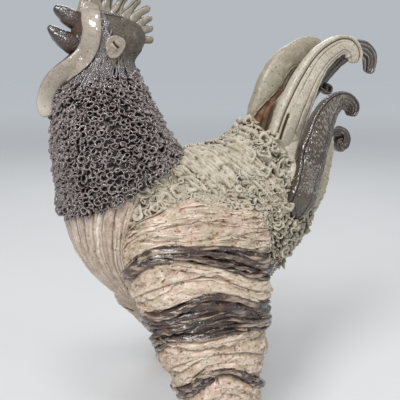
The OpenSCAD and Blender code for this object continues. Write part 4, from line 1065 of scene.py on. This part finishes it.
def dimpleLeg(clay, rows, mirror):                       # pressed rings above the first strip
    rng = np.random.default_rng(60)
    n = 1500
    s, a = rng.uniform(0.35, 2.0, n), rng.uniform(-5, 185, n)
    p = legAt(rows, s, a)
    edge = stripEdge(0, a) + rng.uniform(-5, 1, n)
    kept = []
    for i in np.nonzero(p[:, 2] > edge)[0]:
        gap = 4.4 + 5.5*(i % 3 == 0)
        if not kept or np.min(np.sum((p[kept] - p[i])**2, 1)) > gap**2:
            kept.append(i)
    s, a, p = s[kept], a[kept], p[kept]
    along = unit(legAt(rows, s - 0.1, a) - legAt(rows, s + 0.1, a))
    side = unit(legAt(rows, s, a + 2) - legAt(rows, s, a - 2))
    out = unit(np.cross(along, side))
    out[out[:, 1] > 0] *= -1
    sink = 3.2*(1 - ramp(s, 0.2, 2.2))[:, None]
    radius = np.where(np.array(kept) % 3 == 0, 5.2, 2.7)*rng.uniform(0.8, 1.15, len(kept))
    ring = ClayMesh()
    cups(ring, p - out*sink, out, side, unit(np.cross(out, side)), rng, radius,
         rng.uniform(0.8, 1.8, len(kept)), np.clip(radius*0.5, 1.1, 2.6), 0.35, 0.6, 0.45)
    grid = ring.points[0] + 0.5*np.stack([noise(ring.points[0], 2.6, seed) for seed in (96, 97, 98)], -1)
    shape = (len(kept), -1, cupParts["sides"])
    clay.add(mirrored(grid, mirror).reshape(*shape, 3), ring.hollow[0].reshape(shape),
             ring.tone[0].reshape(shape))


legParts = {"rows": 190, "sides": 160, "wall": 6.0, "sunk": 3.5, "pitDepth": 1.6, "broadLumps": 1.1,
            "lumps": 0.5}
# The right leg's knee bulges forward: height of the bulge, angle and height of its middle, spread of both
kneeParts = {"rise": 9, "angle": 180, "height": 84, "wide": 34, "tall": 22}


def legSkin(name, rows, mirror, node):
    b, knee = legParts, kneeParts
    last = len(rows) - 1
    s = np.linspace(0.25, last, b["rows"])[:, None]
    a = np.linspace(0, 360, b["sides"], endpoint=False)[None, :]
    outer = legAt(rows, s, a)
    pits = np.clip(ramp(noise(outer, 4.6, 93), 0.3, 0.65) + 0.8*ramp(noise(outer, 2.6, 94), 0.35, 0.7), 0, 1)
    rough = 0.8*noise(outer, 5.5, 95) + 0.5*noise(outer, 2.2, 92)
    rise = b["broadLumps"]*noise(outer, 20, 90) + b["lumps"]*noise(outer, 7, 91) + rough - b["pitDepth"]*pits
    if mirror:
        z = outer[..., 2]
        rise = rise + knee["rise"]*np.exp(-((a - knee["angle"])/knee["wide"])**2
                                          - ((z - knee["height"])/knee["tall"])**2)
    fade = ramp(s, 0.2, 2.2) + 0*a
    outer = legAt(rows, s, a, rise*fade - b["sunk"]*(1 - fade))
    outer[..., 2] = np.maximum(outer[..., 2], 0)
    outer[-1, :, 2] = 0
    inner = legAt(rows, np.linspace(last, 4, 40)[:, None], a, -b["wall"])
    inner[0, :, 2] = 0
    clay = ClayMesh()
    # painted shade in the pits and inside the hollow leg, painted highlight on the rough raised places
    hollow = np.concatenate([0.9*pits, 0.6 + 0*inner[..., 0]])
    tone = np.concatenate([0.7*rough, 0*inner[..., 0]])
    clay.add(mirrored(np.concatenate([outer, inner]), mirror), hollow[None], tone[None])
    clayPiece(name, clay, pinkClay, "cream_clay", node)


def legSheet(clay, rows, mirror, a, zTop, zLow, rise, hollow, tone):     # one sheet of clay laid on the leg
    t = np.linspace(0, 1, rise.shape[0])[:, None]
    heights = np.array([r[2] for r in rows])[::-1]
    s = np.interp(zTop + (zLow - zTop)*t, heights, np.arange(len(rows))[::-1])
    outer = legAt(rows, s, a[None, :], 0.3 + np.maximum(rise, 0.05))
    inner = legAt(rows, s[[len(t) - 1, len(t)//2, 0]], a[None, :], 0.15)
    grid = np.concatenate([outer, inner]).transpose(1, 0, 2)
    back = 0*inner[..., 0]
    # painted shade on the underside of each sheet
    clay.add(mirrored(grid, mirror), np.concatenate([hollow, back + 0.8]).T[None],
             np.concatenate([tone, back - 1]).T[None])


def legRelief(a, z, k, style):
    w = np.stack([a + 0*z, z, 0*z + 13*k], -1)
    folds = noise(w*np.array([0.07, 0.42, 1]) + np.array([0, 0.02, 0])*a[None, :, None], 1, 105)
    fine = noise(w*np.array(style["grain"]), 1, 106)
    pits = ramp(noise(w*np.array([0.5, 0.75, 1]), 1, 107), 0.34, 0.66)
    return folds, fine, pits*style["pits"]


def legFold(clay, rng, rows, mirror, style, k, j, order, first, last):   # a lens, thin at both ends
    share = (order + rng.uniform(0.2, 0.8))/style["count"]
    reach = rng.uniform(*style["reach"])
    middle = rng.uniform(8 - 0.3*reach, last - 20 + 0.3*reach)
    u = np.linspace(-1, 1, int(30 + reach*0.7))
    a = middle + reach*u
    u, a = u[(a > first) & (a < last)], a[(a > first) & (a < last)]
    if len(a) < 8:
        return
    taper = np.clip(1 - np.abs(u)**2.4, 0, 1)**0.7*np.clip(np.minimum(a - first, last - a)/8, 0.05, 1)
    q = np.stack([a*0.7, 0*a + 40*k + 7*j + 300*mirror, 0*a], -1)
    tall = rng.uniform(*style["tall"])
    centre = stripEdge(k + share, a) + rng.uniform(-1, 1)*style["slope"]*u \
        + rng.uniform(-1, 1)*style["slope"]*u*u*0.6 + 1.2*noise(q, 12, 100) + 0.5*noise(q, 4, 101)
    half = tall/2*taper + 0.25
    low, high = stripEdge(k + 1.1, a), stripEdge(max(k - 0.08, 0), a)
    zTop = np.minimum(centre + half*(1 + 0.2*noise(q, 5, 103)), high)
    zLow = np.maximum(np.maximum(centre - half*(1 + 0.35*noise(q, 4, 104)), low), 0.4)
    zTop = np.maximum(zTop, zLow + 0.5)
    t = np.linspace(0, 1, 11)[:, None]
    folds, fine, pits = legRelief(a, zTop + (zLow - zTop)*t, k + 0.1*j, style)
    rope = np.sqrt(np.clip(1 - (2*t - 1)**2, 0, 1))
    sheet = ramp(t, 0, 0.85)**0.8*np.sqrt(np.clip(1 - np.clip((t - 0.84)/0.16, 0, 1)**2*0.9, 0, 1))
    shape = style["rope"]*rope + (1 - style["rope"])*sheet
    thick = style["base"]*0.9 + rng.uniform(*style["thick"])*taper
    rise = thick*np.clip(shape*1.1 + 0.1, 0, 1) + (style["folds"]*folds + style["fine"]*fine - 0.9*pits)*taper
    crack = style["crack"]
    # painted shade in the troughs, the pits and the crease along the fold's top edge, painted highlight on
    # the crests and the lower lip
    hollow = 0.5*np.clip(-folds - 0.2, 0, 1) + 0.75*pits + 0.5*crack*(1 - ramp(t, 0, 0.2)) + 0*a
    tone = 0.7*folds + 0.8*fine + 0.5*ramp(t, 0.4, 0.8) - 0.7*crack*(1 - ramp(t, 0, 0.3)) + 0*a
    legSheet(clay, rows, mirror, a, zTop, zLow, rise*np.clip(taper*6, 0.1, 1), hollow, tone)


def legStrip(k, rows, mirror):
    dark = k in darkStrips
    style = foldStyles["dark" if dark else "haunch" if k < 2 else "light"]
    rng = np.random.default_rng(500 + k + 100*mirror)
    first, last = -14, 146 if mirror else 194            # the angles between which the strip runs
    clay = ClayMesh()
    a = np.linspace(first, last, 130)
    t = np.linspace(0, 1, 26)[:, None]
    ends = np.clip(np.sin(np.pi*np.linspace(0, 1, len(a)))*3.2, 0, 1)**0.7*0.93 + 0.07
    q = np.stack([a*0.7, 0*a + 40*k + 300*mirror, 0*a], -1)
    ragged = style["ragged"][0]*noise(q, 6, 101) + style["ragged"][1]*noise(q, 2.6, 102)
    zTop = stripEdge(max(k - 0.06, 0), a) + ragged
    zLow = np.maximum(stripEdge(k + 1.06, a) + ragged*1.3, 0.4)
    folds, fine, pits = legRelief(a, zTop + (zLow - zTop)*t, k, style)
    lip = ramp(t, -0.02, 0.25)*np.sqrt(np.clip(1 - np.clip((t - 0.9)/0.1, 0, 1)**2*0.8, 0, 1))
    rise = ends*(style["base"]*(0.25 + 0.75*lip) + (0.8*folds + 0.4*fine - 0.9*pits)*lip)
    # painted shade in the fold troughs and pits and a little over the whole strip, painted highlight on the
    # crests
    legSheet(clay, rows, mirror, a, zTop, zLow, rise, np.clip(-0.9*folds - 0.3, 0, 1)*0.6 + 0.6*pits,
             0.6*folds + 0.5*fine - 0.3)
    order = rng.permutation(style["count"])
    for j in range(style["count"]):
        legFold(clay, rng, rows, mirror, style, k, j, order[j], first, last)
    side = "right" if mirror else "left"
    material, slot = (bandGlaze, "dark_glaze") if dark else (pinkClay, "buff_clay")
    clayPiece("%sStrip%d" % (side, k + 1), clay, material, slot, "%s_leg_strip_%d" % (side, k + 1))


saddleCups()
legSkin("leftLegSkin", leftLegRows, False, "left_leg")
legSkin("rightLegSkin", rightLegRows, True, "right_leg")
for k in range(13):
    legStrip(k, leftLegRows, False)
    legStrip(k, rightLegRows, True)
print("legs finished")

# Tail feathers: x, y, z and half width, from inside the body to the tip
featherRows = {
    "creamLong": [[42, -14, 205, 13], [47, -14.5, 226, 15.5], [51, -15, 245.3, 16.5],
                  [54.5, -15, 258.4, 16], [59.5, -15, 273, 15.8], [66.6, -13.5, 287.7, 15],
                  [74, -12.5, 302.3, 13.5], [82.5, -11, 315, 12], [92, -9.5, 324.6, 11],
                  [102.4, -8, 331.3, 9.5], [111, -7, 334.5, 8.6], [118.5, -7, 333, 8],
                  [123.5, -7, 326.5, 7.2], [124, -7, 318.5, 6]],
    "creamBack": [[33, 4, 226, 10], [37, 6, 243, 14], [40.5, 8, 257.5, 16], [44.5, 8, 275, 18],
                  [50.5, 8, 289, 19], [55, 8, 302, 18], [63, 8.5, 315.5, 16], [72.5, 9, 324, 13.3],
                  [80.5, 9, 331.5, 10.5], [89.5, 9, 333.5, 8.8], [99, 9, 332, 6.4]],
    "darkHook": [[62, 8, 212, 8.5], [66, 11, 228, 9], [71, 12, 245, 9.5], [77, 12, 262, 9.5],
                 [84, 12, 280, 9.3], [93, 12, 296, 8.6], [105, 12, 310, 8.2], [118, 12, 322.5, 8],
                 [131, 12, 330.5, 8], [143.5, 12, 332, 8], [152.5, 12, 326.5, 7.6], [154, 12, 317, 6.8],
                 [152, 12, 309.5, 4.8]],
    "darkLow": [[45, -43, 190, 12], [48, -50.5, 198, 12.8], [52, -54.5, 208, 13], [58, -47.5, 218, 13],
                [64.5, -41, 229, 13.5], [68.5, -38, 242, 14], [74, -36, 254, 13], [80, -33, 267, 12],
                [88, -30, 278, 10], [96.5, -28, 284.5, 8.4], [105, -27, 285, 7.8], [112, -26, 279.5, 6.8],
                [110.5, -26, 272, 5.2]],
    "darkCurl": [[56, 44, 201, 4.6], [66, 47, 209, 4.3], [76, 43, 214, 4.2], [88, 41, 221, 4],
                 [101, 39, 230, 4], [112, 37, 238.5, 4.2], [121.5, 35, 247.5, 4.6], [129, 33, 251.6, 5],
                 [136, 32, 252.2, 5.2], [140.5, 32, 249, 5.2], [142, 32, 243.5, 5.2],
                 [140.6, 32, 238.2, 5.2], [137, 32, 236.5, 5], [134.4, 32, 238.6, 4.8],
                 [134.4, 32, 242.3, 4.6], [136, 32, 243.8, 4.2], [137, 32, 242.4, 3.8]],
    "creamLow": [[78, 12, 188, 6], [86, 15, 180.5, 6.5], [92, 15, 178.5, 7], [98, 15.5, 182, 8],
                 [104, 16.5, 192, 8.3], [108.5, 17.5, 204, 8.5], [111.5, 18.5, 218, 8.5],
                 [114, 18.5, 232, 8], [115.5, 17.5, 244, 6], [115, 16.5, 253, 3.6]]}


def groove(q, at, width, depth=1.0):
    return depth*np.exp(-((q - at)/width)**2)


# A relief gets the place across (-1 rear edge to 1 front edge), the share on the near side, the share of the
# length and the points. It returns the rise, the hollow, which paints shade and rust, and the tone, which
# paints highlight and shade.
def creamLongRelief(q, near, t, p):
    line = groove(q, 0.62 + 0.04*np.sin(t*9), 0.05, 1.7) \
        + groove(q, -0.35 - 0.2*t + 0.05*np.sin(t*7), 0.035, 1.1)*ramp(t, 0.12, 0.3) \
        + groove(q, 0.26 + 0.05*np.sin(t*11), 0.04, 1.0)*ramp(t, 0.3, 0.45)*(1 - ramp(t, 0.7, 0.85)) \
        + groove(q, -0.78, 0.05, 0.8)*(1 - ramp(t, 0.75, 0.9))
    slit = groove(q, 0.4, 0.07, 3.4)*ramp(t, 0.175, 0.19)*(1 - ramp(t, 0.295, 0.31))
    roll = 2.4*np.exp(-((q - 0.84)/0.17)**2)
    lobes = 1.0*np.sin(t*70)*ramp(t, 0.86, 0.93)*np.clip(-q, 0, 1)
    rise = roll + lobes - (line + slit)*near + 0.6*noise(p, 14, 110) + 0.3*noise(p, 4, 111) \
        + 0.15*noise(p, 1.8, 112)
    # painted shade in the grooves and the slit, painted highlight on the rolled edge; the last noise is
    # random tone
    hollow = np.clip((line*0.55 + slit*0.5)*near, 0, 1)
    return rise, hollow, 0.35*roll/2.4 - 0.7*line*near + 0.35*noise(p, 10, 124)


def creamBackRelief(q, near, t, p):                      # torn open lengthwise, burnt to rust behind the edge
    torn = np.interp(t, [0.2, 0.25, 0.3, 0.39, 0.48, 0.64, 0.8], [0.95, 0.78, 0.56, 0.16, -0.14, -0.36, -0.9])
    torn = torn + 0.05*noise(p, 6, 113) + 0.02*noise(p, 2.4, 125)
    inside = ramp(torn - q, -0.03, 0.05)*near
    glow = np.exp(-((torn - q - 0.12)/0.14)**2)*(1 - ramp(t, 0.46, 0.6))
    rust = inside*np.clip(1 - ramp(t, 0.3, 0.4) + glow, 0, 1)
    line = groove(q, torn - 0.3, 0.04, 1.2)*ramp(t, 0.3, 0.4) + groove(q, torn + 0.1, 0.04, 0.6)
    rise = 0.4*noise(p, 12, 114) + 0.3*noise(p, 3.5, 115) - line*near \
        - 2.6*inside*(1 - 0.5*ramp(t, 0.5, 0.8)) + 0.5*np.cos(q*17)*inside
    # painted shade along the torn edge, in the grooves and over the sunken inside, darkest far inside the
    # edge; the rust is the clay's own
    edge = np.exp(-((torn - q - 0.02)/0.03)**2)*near*(1 - ramp(t, 0.55, 0.7))
    depth = inside*ramp(torn - q, 0.3, 0.75)*(1 - ramp(t, 0.42, 0.6))
    hollow = np.clip(0.5*rust*(1.0 + 0.6*noise(p, 4, 126)) + 0.5*line*near + 1.2*edge + 0.6*depth, 0, 1)
    return rise, hollow, 0.15 - 0.5*line - 0.45*inside - edge - 0.8*depth


def hammered(q, near, t, p):
    dents = (0.5*noise(p*np.array([1, 1, 0.55]), 1.3, 116) + 0.25*noise(p, 3, 130))*(1 - 0.8*np.abs(q)**5)
    line = groove(q, -0.42 + 0.04*np.sin(t*12), 0.028, 1.1) + groove(q, 0.78, 0.03, 1.1) \
        + groove(q, -0.86, 0.05, 0.6)
    ribs = ramp(t, 0.78, 0.9)*0.8*np.cos(q*15)
    rise = dents + 0.15*noise(p, 1.6, 117) - line*near + ribs*near + 1.0*np.exp(-((q - 0.9)/0.14)**2)
    # painted highlight on the raised dents and ribs, painted shade in the grooves
    return rise, np.clip(0.9*line*near, 0, 1), 0.9*dents - line*near + 0.6*ribs


def hookRelief(q, near, t, p):
    ribs = (0.5 + 0.5*ramp(t, 0.6, 0.85))*1.0*np.cos(q*13 + 1.5*np.sin(t*5))
    rise = ribs + 0.35*noise(p, 5, 118) + 0.2*noise(p, 2, 119)
    # painted highlight on the ribs' crests, painted shade in their troughs
    return rise, np.clip(-0.6*ribs, 0, 1), 0.9*ribs


def curlRelief(q, near, t, p):
    ribs = 0.5*np.cos(q*9 + t*30)
    # painted highlight on the ribs' crests, painted shade in their troughs
    return ribs + 0.4*noise(p, 4, 120), np.clip(-0.8*ribs, 0, 1)*0.6, 0.8*ribs


def plainRelief(q, near, t, p):
    warts = ramp(noise(p, 3, 121), 0.2, 0.7)
    # painted highlight on the warts; the darker patches follow noise of their own
    return 0.5*noise(p, 9, 122) + 0.8*warts, 0.4*ramp(-noise(p, 4, 123), 0.4, 0.8), 0.4*warts


# A small rolled end that hangs under the hook feather
knobParts = {"middle": (106.5, 9, 295.5), "steps": 40, "turn": (-2.2, 3.9), "reach": (4.6, 1.6),
             "thick": (2.3, 1.7), "tail": (-7.0, 0, 5.0), "tailSteps": 8}


def darkKnob(clay):
    b = knobParts
    turn = np.linspace(*b["turn"], b["steps"])
    reach = np.linspace(*b["reach"], b["steps"])
    path = np.array(b["middle"]) + np.stack([reach*np.cos(turn), 0*turn, reach*np.sin(turn)], -1)
    path[:b["tailSteps"]] += np.array(b["tail"])*np.linspace(1, 0, b["tailSteps"])[:, None]**2
    th = np.linspace(0, 2*np.pi, 20, endpoint=False)[None, :]
    go = unit(np.gradient(path, axis=0))
    u = unit(np.cross(go, [0, 1, 0]))
    thick = np.linspace(*b["thick"], b["steps"])[:, None]
    grid = path[:, None] + u[:, None]*(thick*np.cos(th))[..., None] \
        + np.array([0, 1, 0])*(2.3*thick*np.sin(th))[..., None]
    clay.add(grid + 0.3*noise(grid, 2.5, 127)[..., None], 0.2, 0.3*np.cos(3*th)[None])


# The long feather's foot, pressed down over the rump: x, y, z and half width
tongueRows = [[54.5, -13, 256, 12], [55, -16.5, 249, 12.5], [56, -22, 242.5, 10.5], [55, -29.5, 237.5, 7.5],
              [51.5, -37, 232.5, 5.2], [47.5, -43, 228, 4], [45.5, -48.5, 220.5, 2.4]]
tongueParts = {"steps": 50, "sides": 40, "thick": 3.4, "facing": (-0.2, -0.85, 0.45), "lumps": 0.5,
               "grain": 0.3}


def footTongue(clay):
    b = tongueParts
    rows = softRows(tongueRows, b["steps"])
    path, wide = rows[:, :3], rows[:, 3:4]
    go = unit(np.gradient(path, axis=0))
    side = unit(np.cross(go, b["facing"]))
    lift = np.cross(side, go)
    th = np.linspace(0, 2*np.pi, b["sides"], endpoint=False)[None, :]
    c, n = np.sign(np.cos(th))*np.abs(np.cos(th))**0.75, np.sin(th)
    grid = path[:, None] + side[:, None]*(c*wide)[..., None] \
        + lift[:, None]*(n*np.minimum(b["thick"], 1 + 0.5*wide))[..., None]
    rough = b["lumps"]*noise(grid, 7, 128) + b["grain"]*noise(grid, 2.5, 129)
    # painted shade along both edges, painted highlight on the raised lumps
    clay.add(grid + lift[:, None]*(rough*np.abs(n))[..., None], 0.15*np.abs(c)[None], rough[None])


def feather(name, key, depthShare, relief, material, slot, node, m=220, n=64, flat=0.75, extra=None):
    rows = softRows(featherRows[key], m)
    path, wide = rows[:, :3], rows[:, 3:4]
    t = np.linspace(0, 1, m)[:, None]
    tip = roundTip(t, 0.955, 0.045, 0.02)
    go = unit(np.gradient(path, axis=0))
    u = unit(np.cross(go, [0, 1, 0]))
    v = np.cross(go, u)
    th = np.linspace(0, 2*np.pi, n, endpoint=False)[None, :]
    q = np.sign(np.cos(th))*np.abs(np.cos(th))**flat
    d = np.sign(np.sin(th))*np.abs(np.sin(th))**0.8
    grid = path[:, None] + u[:, None]*(q*wide*tip)[..., None] + v[:, None]*(d*wide*depthShare*tip)[..., None]
    away = unit(u[:, None]*(q/wide)[..., None] + v[:, None]*(d/(wide*depthShare))[..., None])
    near = np.where(np.sin(th) > 0.05, 1.0, 0.35) + 0*t
    rise, hollow, tone = relief(q + 0*t, near, t + 0*th, grid)
    clay = ClayMesh()
    clay.add(grid + away*(rise*np.clip(tip, 0, 1))[..., None], hollow[None], tone[None])
    if extra:
        extra(clay)
    clayPiece(name, clay, material, slot, node)


feather("creamLongFeather", "creamLong", 0.4, creamLongRelief, featherClay, "cream_clay",
        "cream_long_feather", n=144, extra=footTongue)
feather("creamBackFeather", "creamBack", 0.45, creamBackRelief, rustClay, "cream_clay", "cream_back_feather",
        n=192)
feather("darkHookFeather", "darkHook", 0.42, hookRelief, metalGlaze, "dark_glaze", "dark_hook_feather",
        extra=darkKnob)
feather("darkLowFeather", "darkLow", 0.62, hammered, metalGlaze, "dark_glaze", "dark_low_feather",
        m=320, n=176, flat=1.0)
feather("darkCurlFeather", "darkCurl", 1.5, curlRelief, metalGlaze, "dark_glaze", "dark_curl_feather", m=320)
feather("creamLowFeather", "creamLow", 0.45, plainRelief, coralClay, "cream_clay", "cream_low_feather")
print("tail finished")

# Floor, light and camera: powers in watts, places in metres
studio = {"floorNear": (208, 209, 210), "floorFar": (239, 245, 248), "wall": (180, 186, 191),
          "sky": (250, 252, 255), "worldStrength": 0.56, "keyPower": 16.5, "fillPower": 4.4, "rimPower": 5.0,
          "topPower": 4.0, "glintPower": 2.6}
cameraParts = {"place": (-0.1852, -0.5023, 0.3103), "target": (-0.022, 0, 0.198), "lens": 54.0,
               "sensor": 36.0}


def studioFloor():
    mesh = bpy.data.meshes.new("floor")
    mesh.from_pydata([(-60, -60, 0), (60, -60, 0), (60, 60, 0), (-60, 60, 0)], [], [(0, 1, 2, 3)])
    floor = bpy.data.objects.new("floor", mesh)
    bpy.context.scene.collection.objects.link(floor)
    material = bpy.data.materials.new("paleFloor")
    material.use_nodes = True
    material.node_tree.nodes.clear()
    sheet = Wire(material.node_tree)
    place = sheet.node("ShaderNodeTexCoord", {}, {}, "Object")
    cloud = sheet.node("ShaderNodeTexNoise", {}, {"Vector": place, "Scale": 6.0, "Detail": 3.0})
    away = sheet.node("ShaderNodeVectorMath", {"operation": "LENGTH"}, {0: place}, "Value")
    r, g, b = studio["floorNear"]
    colour = sheet.mix(cloud, tint(r - 3, g - 3, b - 3), tint(r + 3, g + 3, b + 3))
    colour = sheet.mix(away.between(0.4, 5.0), colour, tint(*studio["floorFar"]))
    shader = sheet.node("ShaderNodeBsdfPrincipled", {}, {"Base Color": colour, "Roughness": 0.85})
    sheet.node("ShaderNodeOutputMaterial", {}, {"Surface": shader})
    mesh.materials.append(material)


def aimed(place, target):
    return (Vector(target) - Vector(place)).to_track_quat("-Z", "Y").to_euler()


def studioLight(name, place, target, size, power):
    lamp = bpy.data.lights.new(name, "AREA")
    lamp.energy, lamp.size = power, size
    light = bpy.data.objects.new(name, lamp)
    light.location = place
    light.rotation_euler = aimed(place, target)
    bpy.context.scene.collection.objects.link(light)


studioFloor()
studioLight("keyLight", (-0.9, -0.9, 1.35), (0, 0, 0.2), 0.55, studio["keyPower"])
studioLight("fillLight", (1.1, -0.8, 0.9), (0, 0, 0.2), 0.9, studio["fillPower"])
studioLight("backLight", (0.3, 1.2, 1.2), (0, 0, 0.25), 0.7, studio["rimPower"])
studioLight("topLight", (-0.2, -0.5, 1.5), (0, 0, 0.2), 0.3, studio["topPower"])
studioLight("glintLight", (-0.55, -1.2, 0.8), (0, 0, 0.2), 0.18, studio["glintPower"])


def studioWorld():                                       # camera and glossy rays see the plain wall
    world = bpy.data.worlds.new("studio")
    bpy.context.scene.world = world
    world.use_nodes = True
    world.node_tree.nodes.clear()
    sky = Wire(world.node_tree)
    seen = sky.node("ShaderNodeLightPath", {}, {}, "Is Camera Ray")
    gloss = sky.node("ShaderNodeLightPath", {}, {}, "Is Glossy Ray")
    through = sky.node("ShaderNodeLightPath", {}, {}, "Is Transmission Ray")
    shown = sky.maths("MAXIMUM", sky.maths("MAXIMUM", seen, gloss), through)
    lit = sky.node("ShaderNodeBackground", {}, {
        "Color": tint(*studio["sky"]), "Strength": studio["worldStrength"]})
    wall = sky.node("ShaderNodeBackground", {}, {"Color": tint(*studio["wall"]), "Strength": 1.0})
    both = sky.node("ShaderNodeMixShader", {}, {0: shown, 1: lit, 2: wall})
    sky.node("ShaderNodeOutputWorld", {}, {"Surface": both})


studioWorld()

camera = bpy.data.objects.new("camera", bpy.data.cameras.new("camera"))
camera.location = cameraParts["place"]
camera.rotation_euler = aimed(camera.location, cameraParts["target"])
camera.data.lens, camera.data.sensor_width = cameraParts["lens"], cameraParts["sensor"]
camera.data.clip_start, camera.data.clip_end = 0.01, 20
bpy.context.scene.collection.objects.link(camera)
bpy.context.scene.camera = camera
bpy.context.scene.view_settings.view_transform = "Standard"
print("floor, light and camera ready")
